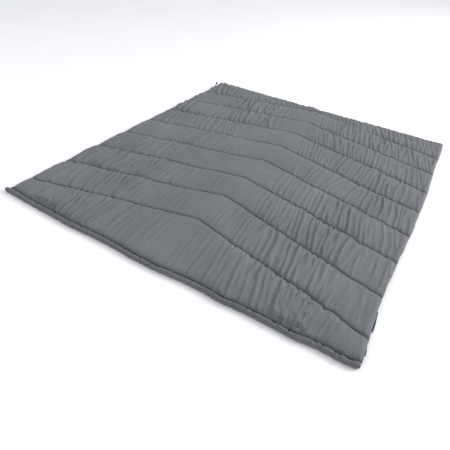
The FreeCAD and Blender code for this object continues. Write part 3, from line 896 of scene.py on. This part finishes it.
def hard_material(name, dark, light, rough, metallic=0.0, grain_scale=140.0, coat=0.0,
                  wear=None):
    """Grained plastic, rubber or metal; wear is the colour of its rubbed edges."""
    material, tree, bsdf = new_mat(name)
    grain = noise_tex(tree, coords(tree), grain_scale, detail=5.0, rough=0.6)
    colour = ramp(tree, grain, [(0.3, dark), (0.75, light)])
    if wear is not None:
        pointed = node(tree, "ShaderNodeNewGeometry", {}).outputs["Pointiness"]
        edge = ramp(tree, pointed, [(0.52, (0, 0, 0)), (0.62, (1, 1, 1))])
        scratch = noise_tex(tree, coords(tree), scale=700.0, detail=4.0, rough=0.7)
        worn = calc(tree, "MULTIPLY", edge, calc(tree, "GREATER_THAN", scratch, 0.5))
        # inputs 6 and 7 and output 2 are the colour sockets
        colour = node(tree, "ShaderNodeMix", {"Factor": worn, 6: colour, 7: wear + (1.0,)},
                      data_type="RGBA").outputs[2]
    feed(tree, bsdf, {
        "Base Color": colour,
        "Metallic": metallic,
        "Roughness": vary_rough(tree, grain, rough, spread=0.22),
        "Coat Weight": coat,
        "Normal": bump(tree, grain, strength=0.12, distance=0.0002)})
    return material


LINING = cloth_material("lining_cloth", dark=(0.118, 0.122, 0.129), mid=(0.151, 0.156, 0.164),
                        light=(0.193, 0.198, 0.208), rough=0.84, sheen=0.07)
# the collar roll is the lining's grey cloth with darker colours: painted shade for the roll's
# face turned away from the key light
COLLAR = cloth_material("collar_cloth_painted_shade", dark=(0.104, 0.108, 0.114), mid=(0.134, 0.138, 0.146),
                        light=(0.172, 0.177, 0.186), rough=0.84, sheen=0.07)
SHELL = cloth_material("shell_cloth", dark=(0.008, 0.022, 0.045), mid=(0.012, 0.034, 0.066),
                       light=(0.020, 0.050, 0.090), rough=0.62, sheen=0.15, yarn=0.0008,
                       streak=0.25, sheen_tint=(0.7, 0.85, 1.0))
THREAD = thread_material("sewing_thread", dark=(0.045, 0.047, 0.052),
                         light=(0.105, 0.108, 0.115))
TAPE = tape_material()
TEETH = hard_material("zip_teeth_plastic", dark=(0.012, 0.013, 0.015),
                      light=(0.028, 0.030, 0.034), rough=0.38)
METAL = hard_material("zip_enamel_metal", dark=(0.010, 0.010, 0.011),
                      light=(0.022, 0.022, 0.024), rough=0.34, metallic=0.35,
                      grain_scale=220.0, coat=0.35, wear=(0.32, 0.32, 0.33))
GRIP = hard_material("pull_grip_rubber", dark=(0.010, 0.011, 0.013),
                     light=(0.024, 0.026, 0.030), rough=0.62)
CORD = thread_material("pull_cord_braid", dark=(0.30, 0.008, 0.008),
                       light=(0.62, 0.030, 0.022))


# ------------------------------------------------------------------ quilt
lining, lining_rows, lining_mid = quilt_sheet(True)
shell, shell_rows, shell_mid = quilt_sheet(False)
# side, lining half, shell half; both halves share the fold's column
HALVES = (("left", lining[:, :lining_mid + 1], shell[:, :shell_mid + 1]),
          ("right", lining[:, lining_mid:], shell[:, shell_mid:]))

lining_objects = {}
for side, lining_half, shell_half in HALVES:
    lining_objects[side] = dress(
        cloth_shell(side + "_quilt_lining", lining_half, -1, 0.0015), LINING,
        [side + "_lining"] + [side + "_wadding_channel_%d" % (k + 1) for k in range(CHANNELS)])
    dress(cloth_shell(side + "_quilt_shell", shell_half, 1, 0.0007), SHELL,
          [side + "_outer_shell"])


# ------------------------------------------------------------------ stitches
# one stitch: place along it, width and height as shares of the thread radius
STITCH = [(-0.5, 0.25, -0.9), (-0.3, 0.9, 0.1), (0.0, 1.0, 0.35), (0.3, 0.9, 0.1),
          (0.5, 0.25, -0.9)]
STITCH_RING = np.array([[1, 0], [0, 1], [-1, 0], [0, -0.6]])
THREAD_RADIUS = 0.00042


def stitches(name, paths, pitch, long, lift):
    """Thread showing as short raised dashes. paths holds rows of points, each with
    +1 where the cloth faces up and -1 where it faces down."""
    verts, quads = [], []
    base = 0
    for points, facing in paths:
        points = points + UP * (facing * lift)
        s = distance_along(points)
        n = int(s[-1] / pitch)
        centre = (np.arange(n) + 0.5) * s[-1] / n
        middle = sample(centre, s, points)
        ahead = unit(sample(centre + long / 2, s, points)
                     - sample(centre - long / 2, s, points))
        aside = unit(np.cross(ahead, UP * facing))
        up = np.cross(aside, ahead)
        rings = []
        for along, wide, high in STITCH:
            ring_centre = middle + ahead * (along * long) + up * (high * THREAD_RADIUS)
            rings.append(np.stack([ring_centre + aside * (THREAD_RADIUS * wide * x)
                                   + up * (THREAD_RADIUS * wide * y)
                                   for x, y in STITCH_RING], 1))
        dashes = np.stack(rings, 1)              # stitch, ring, around, xyz
        verts.append(dashes.reshape(-1, 3))
        index = base + np.arange(dashes.size // 3).reshape(dashes.shape[:3])
        quads += [tube_quads(index).reshape(-1, 4), index[:, 0, ::-1], index[:, -1]]
        base += index.size
    return mesh_object(name, np.concatenate(verts), np.concatenate(quads))


for side, lining_half, shell_half in HALVES:
    paths = []
    for sheet, rows, facing in ((lining_half, lining_rows, 1), (shell_half, shell_rows, -1)):
        for r in rows[1:CHANNELS]:
            row = sheet[r]
            paths.append((row[np.abs(row[:, 0]) < SIDE_X - 0.006], facing))
    dress(stitches(side + "_quilt_stitches", paths, pitch=0.0046, long=0.0031, lift=0.0002),
          THREAD, [side + "_quilting_thread"])


# ------------------------------------------------------------------ collar
# harder puckers gathered at the right end: x, slant, depth
END_PUCKERS = ((0.700, 0.010, 0.26), (0.842, 0.007, 0.30), (0.893, 0.006, 0.24),
               (0.921, -0.005, 0.30), (0.947, 0.004, 0.22), (0.967, -0.003, 0.20))


def collar_roll():
    """Padded roll along the head edge, closed round from its seam and back."""
    radius = float(COLLAR_HI[2] - COLLAR_LO[2]) / 2
    centre_y = float(COLLAR_LO[1] + COLLAR_HI[1]) / 2
    centre_z = float(COLLAR_LO[2] + COLLAR_HI[2]) / 2
    start, end = float(COLLAR_LO[0]), COLLAR_END_X + 0.008
    around = 20
    step = STEP * 0.7
    cap = 0.017                                  # length of each rounded end
    left = np.linspace(start + cap, -BAND_X, int((-BAND_X - start - cap) / step))
    right = np.linspace(BAND_X, end - cap, int((end - cap - BAND_X) / step))
    arc = cap * np.sin(np.linspace(0, 1, 6) * math.pi / 2)
    xs = np.concatenate([start + cap - arc[::-1][:-1], left,
                         np.linspace(-BAND_X, BAND_X, 14)[1:-1], right,
                         end - cap + arc[1:]])
    n = len(xs)
    seam_y0 = HEAD_Y - 0.0006
    seam_z = HEAD_Z - 0.0004 + (EDGE_Z - HEAD_Z) * rise(np.abs(xs), 0.957, 0.026)
    seam_angle = np.arctan2(seam_z - centre_z, seam_y0 - centre_y)
    seam_radius = np.hypot(seam_z - centre_z, seam_y0 - centre_y)
    i = np.arange(around + 1)
    at_seam = bell(np.minimum(i, around - i), 1.1)[:, None]
    body = 1 - at_seam
    X = np.broadcast_to(xs, (around + 1, n)).copy()
    A = seam_angle[None, :] + 2 * math.pi * i[:, None] / around
    R = lerp(radius, seam_radius[None, :], at_seam)
    # fuller toward both ends, and uneven
    swell = (0.95 + 0.15 * rise(X, 0.55, 0.4) + 0.09 * rise(-X, 0.35, 0.2)
             + 0.03 * noise1(X, 0.16, 51))
    swell += 0.025 * noise2(X, A * 0.02, 0.05, 0.03, 52)
    R *= 1 + (swell - 1) * body
    # slanting wrinkles, each over part of the way round
    rng = np.random.default_rng(31)
    x = start + 0.03
    while x < end - 0.03:
        depth = 0.07 + 0.24 * rng.random() ** 1.4
        width = 0.006 + 0.009 * rng.random()
        slant = 0.026 * (rng.random() - 0.5)
        phase = 3 * rng.random()
        off = X - x - slant * np.cos(A - math.pi / 2 + phase) - 0.003 * np.sin(2 * A + 5 * x)
        reach = 0.45 + 0.55 * np.cos(A - math.pi * (0.2 + 0.9 * rng.random()))
        R *= 1 - body * depth * np.clip(reach, 0, 1) * bell(off, width)
        x += 0.018 + 0.05 * rng.random()
    for x, slant, depth in END_PUCKERS:
        R *= 1 - body * depth * bell(X - x - slant * np.cos(A - 1.2), 0.0062)
    taper = np.ones(n)
    for past in ((start + cap - xs) / cap, (xs - end + cap) / cap):
        taper = np.minimum(taper, np.sqrt(np.clip(1 - past.clip(0, 1) ** 2, 0.01, 1)))
    Y = centre_y - 0.0019 * body + R * np.cos(A) * taper * (1 - 0.13 * body)
    Z = centre_z + R * np.sin(A) * taper
    Y[0] = Y[-1] = centre_y + (seam_y0 - centre_y) * taper
    Z[0] = Z[-1] = centre_z + (seam_z - centre_z) * taper
    Z = np.maximum(Z, 0.0006)
    Y += head_shift(X)

    target = np.stack([X, Y, Z], -1)
    p = target.copy()
    extra_x = np.clip(0.045 + 0.02 * noise1(X, 0.2, 53) + 0.03 * rise(X, 0.8, 0.1), 0.02, 0.10)
    rest = metric(p, extra_x, np.full(X.shape, 0.02))
    free = np.ones(X.shape)
    free[[0, -1]] = 0
    free[:, [0, -1]] = 0
    p[..., 1:] += free[..., None] * rng.standard_normal(p[..., 1:].shape) * 0.0006

    def push(q, free):
        q[..., 1:] += (target[..., 1:] - q[..., 1:]) * 0.06 * free[..., None]
        np.maximum(q[..., 2], 0.0005, out=q[..., 2])

    p = relax(p, target, free, rest, push, steps=40, iters=3,
              bend=0.14, damp=0.8, shear=0.2)
    p[..., 2] = np.maximum(p[..., 2], 0.0005)
    p = up2(p)
    p[..., 2] = np.maximum(p[..., 2], 0.0005)

    wall = p[:-1]                                # wraps round
    m, n = wall.shape[:2]
    index = np.arange(m * n).reshape(m, n)
    beside = np.roll(index, -1, axis=0)
    quads = tube_quads(index.T).swapaxes(0, 1).reshape(-1, 4)[:, ::-1]
    end_left, end_right = wall[:, 0].mean(0), wall[:, -1].mean(0)
    end_left[0] -= 0.0006
    end_right[0] += 0.0006
    verts = np.concatenate([wall.reshape(-1, 3), [end_left, end_right]])
    tris = np.concatenate([
        np.stack([beside[:, 0], np.full(m, m * n), index[:, 0]], -1),
        np.stack([index[:, -1], np.full(m, m * n + 1), beside[:, -1]], -1)])
    dress(mesh_object("collar_roll", verts, quads, tris), COLLAR,
          ["left_collar_cover", "right_collar_cover", "left_collar_wadding",
           "right_collar_wadding"])


def groove_shade_strip():
    """Near-black strip lying in the groove between the collar and the quilt: painted shade
    standing in for the groove's deep shadow, not a real binding.
    """
    start, end = -SIDE_X + 0.004, SIDE_X - 0.002
    xs = np.concatenate([np.linspace(start, -BAND_X, 300),
                         np.linspace(-BAND_X, BAND_X, 22)[1:-1],
                         np.linspace(BAND_X, end, 300)])
    angle = np.linspace(0, 2 * math.pi, 11)[:-1]
    radius = 0.0050 + 0.0006 * noise1(xs, 0.05, 201) + 0.0005 * noise1(xs, 0.013, 202)
    radius *= (np.clip((xs - start) / 0.012 + 0.25, 0, 1)
               * np.clip((end - xs) / 0.012 + 0.25, 0, 1))
    y = HEAD_Y + head_shift(xs) + 0.0008 + 0.0010 * noise1(xs, 0.03, 203)
    z = 0.0138 + 0.0012 * noise1(xs, 0.06, 204) + 0.0008 * noise1(xs, 0.018, 205)
    x, y, z, radius = (values[:, None] for values in (xs, y, z, radius))
    verts, quads, tris = capped_tube(np.stack([
        x + 0 * angle, y + np.cos(angle) * radius * 0.85, z + np.sin(angle) * radius], -1))
    # each quad starts one corner on, and the end fans face the other way
    dress(mesh_object("collar_groove_painted_shade", verts, np.roll(quads, -1, axis=1),
                      tris[:, ::-1]), TAPE)


collar_roll()
# painted shade: a near-black strip laid in the collar groove
groove_shade_strip()


# ------------------------------------------------------------------ pockets
def pocket(side, foot_margin, seed):
    """Patch laid over the lining, sewn down all round its rounded outline."""
    lo, hi = span(side + "_inner_pocket")
    lo[1] -= 0.014
    hi[1] += foot_margin
    mesh = lining_objects[side].data
    tree = BVHTree.FromPolygons([v.co for v in mesh.vertices],
                                [tuple(f.vertices) for f in mesh.polygons])

    def drop(x, y):
        """Height of the lining; 0.02 where there is none below."""
        hit = tree.ray_cast(Vector((x, y, 0.2)), Vector((0, 0, -1)))[0]
        return hit.z if hit is not None else 0.02

    step = 0.0040
    corner = 0.012
    sew_in = 0.0055                              # stitches in from the outline
    width, height = hi[0] - lo[0], hi[1] - lo[1]
    share_x, share_y = np.meshgrid(np.linspace(0, 1, 2 * int(width / step / 2) + 1),
                                   np.linspace(0, 1, 2 * int(height / step / 2) + 1))
    x = lo[0] + share_x * width
    y = lo[1] + share_y * height
    # pull the sharp corners in to the rounded outline
    core_x = np.clip(x, lo[0] + corner, hi[0] - corner)
    core_y = np.clip(y, lo[1] + corner, hi[1] - corner)
    dx, dy = x - core_x, y - core_y
    square = np.maximum(np.abs(dx), np.abs(dy))
    far = np.sqrt(dx * dx + dy * dy)
    pull = np.where(far > 1e-9, square / np.maximum(far, 1e-9), 1.0)
    x, y = core_x + dx * pull, core_y + dy * pull
    x = x + 0.0018 * noise2(x, y, 0.035, 0.035, 71)
    y = y + 0.0018 * noise2(x, y, 0.035, 0.035, 72)
    z = np.array([[drop(a, b) for a, b in zip(*row)] for row in zip(x, y)])
    edge = np.minimum(np.minimum(share_x, 1 - share_x) * width, share_y * height)
    body = rise(edge, 0.004, 0.020)
    skew = x + 0.45 * y
    crease = (bell(noise2(skew, y * 0.9 - 0.3 * x, 0.040, 0.075, 76), 0.35)
              + 0.6 * bell(noise2(skew * 0.9, y, 0.024, 0.045, 77), 0.35))
    target = np.stack([x, y, z + 0.0008 + 0.0040 * body + 0.0052 * body * crease], -1)
    rest = metric(target, 0.14 + 0.04 * noise2(x, y, 0.05, 0.05, 75), np.full(x.shape, 0.045))
    free = np.where(edge > sew_in, 1.0, 0.0)
    p = target.copy()
    p[..., 2] += free * np.random.default_rng(seed).standard_normal(x.shape) * 0.001

    def push(q, free):
        lift = target[..., 2] - q[..., 2]
        q[..., 2] += lift * np.where(lift > 0, 0.25, 0.02) * free
        q[..., :2] += (target[..., :2] - q[..., :2]) * (0.01 * free)[..., None]

    p = relax(p, target, free, rest, push, steps=45, iters=3,
              bend=0.10, damp=0.8, shear=0.15)
    p[..., 2] = np.maximum(p[..., 2], z + 0.0009)
    hem = bell(edge - sew_in, 0.0018) * 0.0005
    p[..., 2] = np.maximum(np.minimum(p[..., 2], TOP_Z) - hem, z + 0.0006)
    under = p.copy()
    under[..., 2] = np.minimum(z + 0.0002, p[..., 2] - 0.0004)
    rows, cols = x.shape
    base = rows * cols
    index = np.arange(base).reshape(rows, cols)
    loop = np.concatenate([index[0, :-1], index[:-1, -1], index[-1, :0:-1], index[:0:-1, 0]])
    after = np.roll(loop, -1)
    rim = np.stack([loop + base, after + base, after, loop], -1)
    dress(mesh_object(side + "_pocket_patch",
                      np.concatenate([p.reshape(-1, 3), under.reshape(-1, 3)]),
                      np.concatenate([grid_quads(rows, cols),
                                      grid_quads(rows, cols, True) + base, rim])),
          LINING, [side + "_inner_pocket"], ride=side + "_half")
    # stitches in from the three sewn sides, and along the hem of the mouth
    i = int(round(sew_in / step))
    paths = [(row, 1) for row in (p[i:-1, i], p[i:-1, -1 - i], p[i, i:-i], p[-4, 2:-2])]
    dress(stitches(side + "_pocket_stitches", paths, pitch=0.0042, long=0.0028, lift=0.0003),
          THREAD, [side + "_pocket_stitching"], ride=side + "_half")


pocket("left", foot_margin=0.004, seed=77)
pocket("right", foot_margin=0.014, seed=78)


# ------------------------------------------------------------------ zip
ZIP_CORNER = 0.060                 # outer radius of the teeth at the foot corner
TAPE_WIDTH = 0.0095
TOOTH_PITCH = 0.0036
# one tooth: inward depth, half width along the zip, share of the half height
TOOTH = [(0.0000, 0.00070, 0.55), (0.0005, 0.00105, 0.80), (0.0014, 0.00110, 0.92),
         (0.0020, 0.00070, 0.95), (0.0034, 0.00072, 1.00), (0.0046, 0.00100, 0.90),
         (0.0049, 0.00095, 0.60)]
# outline of a tooth: shares of the half width and half height
TOOTH_RING = [(-1, -0.6), (-0.6, -1), (0.6, -1), (1, -0.6), (1, 0.6), (0.6, 1), (-0.6, 1),
              (-1, 0.6)]
TOOTH_CAP = np.array([(0, 1, 2, 3), (0, 3, 4, 7), (7, 4, 5, 6)])


def zip_path(inward, arcs, step):
    """Points and outward directions of a line parallel to the zip, inward from
    the outer face of the teeth, from the head to the fold, right half."""
    edge_x, edge_y = float(TEETH_HI[0]) - inward, float(TEETH_HI[1]) - inward
    r = ZIP_CORNER - inward
    start_y, end_x = float(TAPE_LO[1]), float(TAPE_LO[0])
    points, out = [], []
    for t in np.linspace(0, 1, int((edge_y - r - start_y) / step) + 1):
        points.append((edge_x, start_y + (edge_y - r - start_y) * t))
        out.append((1, 0))
    for t in np.linspace(0, 1, arcs + 1)[1:-1]:
        angle = t * math.pi / 2
        points.append((edge_x - r + r * math.cos(angle), edge_y - r + r * math.sin(angle)))
        out.append((math.cos(angle), math.sin(angle)))
    for t in np.linspace(0, 1, int((edge_x - r - end_x) / step) + 1):
        points.append((edge_x - r - (edge_x - r - end_x) * t, edge_y))
        out.append((0, 1))
    return np.array(points), np.array(out)


def to_side(points, side):
    """Ease points with the right long side, or mirror them to the left, in place."""
    if side == "right":
        points[..., 0] = shift_side(points[..., 0], points[..., 1])
    else:
        points[..., 0] *= -1


def zip_tape(side):
    points, out = zip_path(float(TEETH_HI[0] - TAPE_HI[0]), arcs=10, step=0.006)
    insets = [0.0, 0.0006, 0.0022, 0.0050, 0.0075, TAPE_WIDTH]
    s = distance_along(points)
    waver = 0.00012 * np.sin(s * 310) + 0.0001 * np.sin(s * 97 + 1)
    lines = []
    for j, inset in enumerate(insets):
        ridge = 0.00025 if j == 2 else 0.0
        z = float(TAPE_HI[2]) + ridge + waver * (1 if j > 0 else 0.3)
        lines.append(np.column_stack([points - out * inset, z]))
    for inset in insets[::-1]:
        z = np.full(len(points), float(TAPE_LO[2]))
        lines.append(np.column_stack([points - out * inset, z]))
    band = np.array(lines)                       # around, along, xyz
    to_side(band, side)
    m, n = band.shape[:2]
    index = np.arange(m * n).reshape(m, n)
    caps = []
    for col, turn in ((0, -1), (n - 1, 1)):
        for j in range(m // 2 - 1):
            caps.append(index[[j, j + 1, m - 2 - j, m - 1 - j], col][::turn])
    quads = np.concatenate([tube_quads(index.T).swapaxes(0, 1).reshape(-1, 4), caps])
    if side == "right":
        quads = quads[:, ::-1]
    dress(mesh_object(side + "_zip_tape_band", band, quads, smooth=False),
          TAPE, [side + "_zip_tape"], ride=side + "_half")


def zip_teeth(side):
    points, out = zip_path(0.0, arcs=24, step=0.01)
    s = distance_along(points)
    start = float(TEETH_LO[1]) - float(TAPE_LO[1]) + 0.0012
    end = s[-1] - (float(TEETH_LO[0]) - float(TAPE_LO[0])) - 0.0012
    n = int((end - start) / TOOTH_PITCH)
    centre = start + (np.arange(n) + 0.5) * (end - start) / n
    middle = sample(centre, s, points)
    out = unit(sample(centre, s, out))
    along = np.stack([-out[:, 1], out[:, 0]], -1)
    low, high = float(TEETH_LO[2]), float(TEETH_HI[2])
    verts = np.zeros((n, len(TOOTH), len(TOOTH_RING), 3))
    for i, (depth, half_width, share) in enumerate(TOOTH):
        for j, (a, b) in enumerate(TOOTH_RING):
            verts[:, i, j, :2] = middle - out * depth + along * a * half_width
            verts[:, i, j, 2] = (low + high) / 2 + b * ((high - low) / 2) * share
    to_side(verts, side)
    index = np.arange(verts.size // 3).reshape(verts.shape[:3])
    quads = np.concatenate([tube_quads(index).reshape(-1, 4)]
                           + [index[:, 0][:, cap] for cap in TOOTH_CAP]
                           + [index[:, -1][:, cap[::-1]] for cap in TOOTH_CAP])
    if side == "left":
        quads = quads[:, ::-1]
    dress(mesh_object(side + "_zip_teeth_row", verts, quads, smooth=False),
          TEETH, [side + "_zip_teeth"], ride=side + "_half")


for side in ("left", "right"):
    zip_tape(side)
    zip_teeth(side)


# ------------------------------------------------------------------ pulls
def own_axes(name):
    """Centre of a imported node, its long, wide and thin axes, and its size on each."""
    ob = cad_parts[name]
    points = np.array([ob.matrix_world @ v.co for v in ob.data.vertices])
    area = np.array([f.area for f in ob.data.polygons])
    centres = np.array([ob.matrix_world @ f.center for f in ob.data.polygons])
    mean = (area[:, None] * centres).sum(0) / area.sum()
    spread = ((area[:, None] * (centres - mean)).T @ (centres - mean)) / area.sum()
    vectors = np.linalg.eigh(spread)[1]
    axes = [vectors[:, 2], vectors[:, 1], vectors[:, 0]]
    reach = [(points - mean) @ axis for axis in axes]
    mean = mean + sum(axis * (e.max() + e.min()) / 2 for axis, e in zip(axes, reach))
    return mean, axes, [float(e.max() - e.min()) for e in reach]


def grip(prefix):
    """Moulded, waisted and ribbed grip; its long axis points away from the cord."""
    name = prefix + "_pull_grip"
    centre, (long_axis, wide_axis, thin_axis), (long, wide, thin) = own_axes(name)
    if np.dot(own_axes(prefix + "_pull_cord")[0] - centre, long_axis) > 0:
        long_axis = -long_axis
    angle = np.linspace(0, 2 * math.pi, 41)[:-1]
    cos, sin = np.cos(angle), np.sin(angle)
    rings = []
    for u in np.concatenate([[-0.5, -0.495, -0.48, -0.455], np.linspace(-0.42, 0.42, 64),
                             [0.455, 0.48, 0.495, 0.5]]):
        end = math.sqrt(max(1 - (max(abs(u) - 0.40, 0) / 0.1001) ** 2, 0.02))
        waist = 1 - 0.10 * math.exp(-((u + 0.05) / 0.22) ** 2)
        rib = 0.045 * math.sin((u + 0.42) * 2 * math.pi * 9.5) * (1 if abs(u) < 0.33 else 0)
        half_wide = wide * 0.59 * waist * (0.55 + 0.45 * end)
        half_thin = (thin * 0.62 * (0.35 + 0.65 * end)
                     * (1 + rib - 0.12 * (1 if abs(u) < 0.34 else 0)))
        # rounded-square outline
        across = np.sign(cos) * np.abs(cos) ** 0.62 * half_wide
        through = np.sign(sin) * np.abs(sin) ** 0.62 * half_thin
        rings.append(centre + long_axis * u * long + across[:, None] * wide_axis
                     + through[:, None] * thin_axis)
    dress(mesh_object(prefix + "_moulded_grip", *outward_tube(rings)),
          GRIP, [name], ride=prefix + "_pull_cord")


def cord(prefix):
    """Braided cord: two strands into the grip, joined by a tight bend."""
    name = prefix + "_pull_cord"
    centre, (long_axis, wide_axis, thin_axis), (long, wide, thin) = own_axes(name)
    if np.dot(own_axes(prefix + "_pull_grip")[0] - centre, long_axis) < 0:
        long_axis = -long_axis
    half = wide / 2 - thin / 2
    foot, top = -long / 2 + thin / 2, long / 2 + 0.0008
    bend = 0.0022                                # height of the bend
    path = [(-half, top - i * (top - foot - bend) / 14) for i in range(15)]
    for angle in np.linspace(0, math.pi, 15)[1:-1]:
        path.append((-half * math.cos(angle), foot + bend - bend * math.sin(angle)))
    path += [(half, foot + bend + i * (top - foot - bend) / 14) for i in range(15)]
    points = np.array([centre + wide_axis * a + long_axis * b for a, b in path])
    # finer, evenly spaced
    s = distance_along(points)
    n = 150
    at = np.linspace(0, s[-1], n)
    points = sample(at, s, points)
    side_axis = unit(np.cross(unit(np.gradient(points, axis=0)), thin_axis))
    angle = np.linspace(0, 2 * math.pi, 17)[:-1]
    strand = sstep(np.abs(np.linspace(-1, 1, n)) * 2.2 - 0.55)
    rings = []
    for i in range(n):
        radius = thin / 2 * (0.98 + 0.55 * strand[i])
        twist = at[i] / 0.0030 * math.pi
        braid = (1 + 0.10 * (np.abs(np.sin(2 * angle + twist)) - 0.5)
                 + 0.10 * (np.abs(np.sin(2 * angle - twist)) - 0.5))
        rings.append(points[i] + (np.cos(angle) * radius * braid)[:, None] * side_axis[i]
                     + (np.sin(angle) * radius * braid)[:, None] * thin_axis)
    dress(mesh_object(prefix + "_braided_cord", *outward_tube(rings)),
          CORD, [name], ride=name)


for prefix in ("main", "foot"):
    grip(prefix)
    cord(prefix)


# ------------------------------------------------------------------ hardware
def packed_material(name):
    """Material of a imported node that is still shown."""
    if name.endswith(("slider_body", "slider_bail", "pull_tab", "top_stop")):
        return METAL
    if name.startswith(("zip_retainer", "zip_insertion")):
        return TEETH
    if name.endswith("pull_cord"):
        return CORD
    if name.endswith("pull_grip"):
        return GRIP
    return LINING


for name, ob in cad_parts.items():
    if not ob.hide_render:
        ob.data.materials.clear()
        ob.data.materials.append(packed_material(name))


# ------------------------------------------------------------------ studio
def studio_floor(size, z):
    ob = mesh_object("studio_floor", [(-size, -size, z), (size, -size, z), (size, size, z),
                                      (-size, size, z)], [[0, 1, 2, 3]], smooth=False)
    material, tree, bsdf = new_mat("studio_floor")
    grain = noise_tex(tree, coords(tree), scale=1.5)
    colour = ramp(tree, grain, [(0.2, (0.925, 0.92, 0.915)), (0.8, (0.945, 0.94, 0.935))])
    feed(tree, bsdf, {"Base Color": colour, "Roughness": 0.9})
    ob.data.materials.append(material)


def area_light(name, location, target, size, power):
    light = bpy.data.lights.new(name, "AREA")
    light.shape = "RECTANGLE"
    light.size = light.size_y = size
    light.energy = power
    ob = bpy.data.objects.new(name, light)
    bpy.context.scene.collection.objects.link(ob)
    ob.location = location
    aim = Vector(target) - Vector(location)
    ob.rotation_euler = aim.to_track_quat("-Z", "Y").to_euler()


def camera(azimuth, elevation, roll, distance, target, lens):
    """Camera looking at target; azimuth turns from -y toward +x, in radians."""
    back = Vector((math.sin(azimuth) * math.cos(elevation),
                   -math.cos(azimuth) * math.cos(elevation), math.sin(elevation)))
    right = (-back).cross(Vector((0, 0, 1))).normalized()
    up = right.cross(-back)
    rolled_right = right * math.cos(roll) + up * math.sin(roll)
    rolled_up = -right * math.sin(roll) + up * math.cos(roll)
    data = bpy.data.cameras.new("camera")
    data.sensor_width = 36.0
    data.lens = lens
    data.clip_end = 200
    ob = bpy.data.objects.new("camera", data)
    bpy.context.scene.collection.objects.link(ob)
    turn = Matrix((rolled_right, rolled_up, back)).transposed().to_4x4()
    ob.matrix_world = Matrix.Translation(Vector(target) + back * distance) @ turn
    bpy.context.scene.camera = ob


studio_floor(size=40.0, z=-0.0003)

world = bpy.data.worlds.new("studio")
bpy.context.scene.world = world
world.use_nodes = True
feed(world.node_tree, world.node_tree.nodes["Background"],
     {"Color": (0.93, 0.95, 1.0, 1.0), "Strength": 0.75})

area_light("key", location=(6.8, 4.2, 4.7), target=(0, 0, 0), size=4.0, power=690)
area_light("fill", location=(-2.6, -1.6, 3.6), target=(0, -0.2, 0), size=3.0, power=30)
camera(azimuth=0.476707, elevation=0.659264, roll=0.096412, distance=2.187497,
       target=(0.135752, -0.700488, 0), lens=32.7732)
bpy.context.scene.view_settings.view_transform = "Standard"
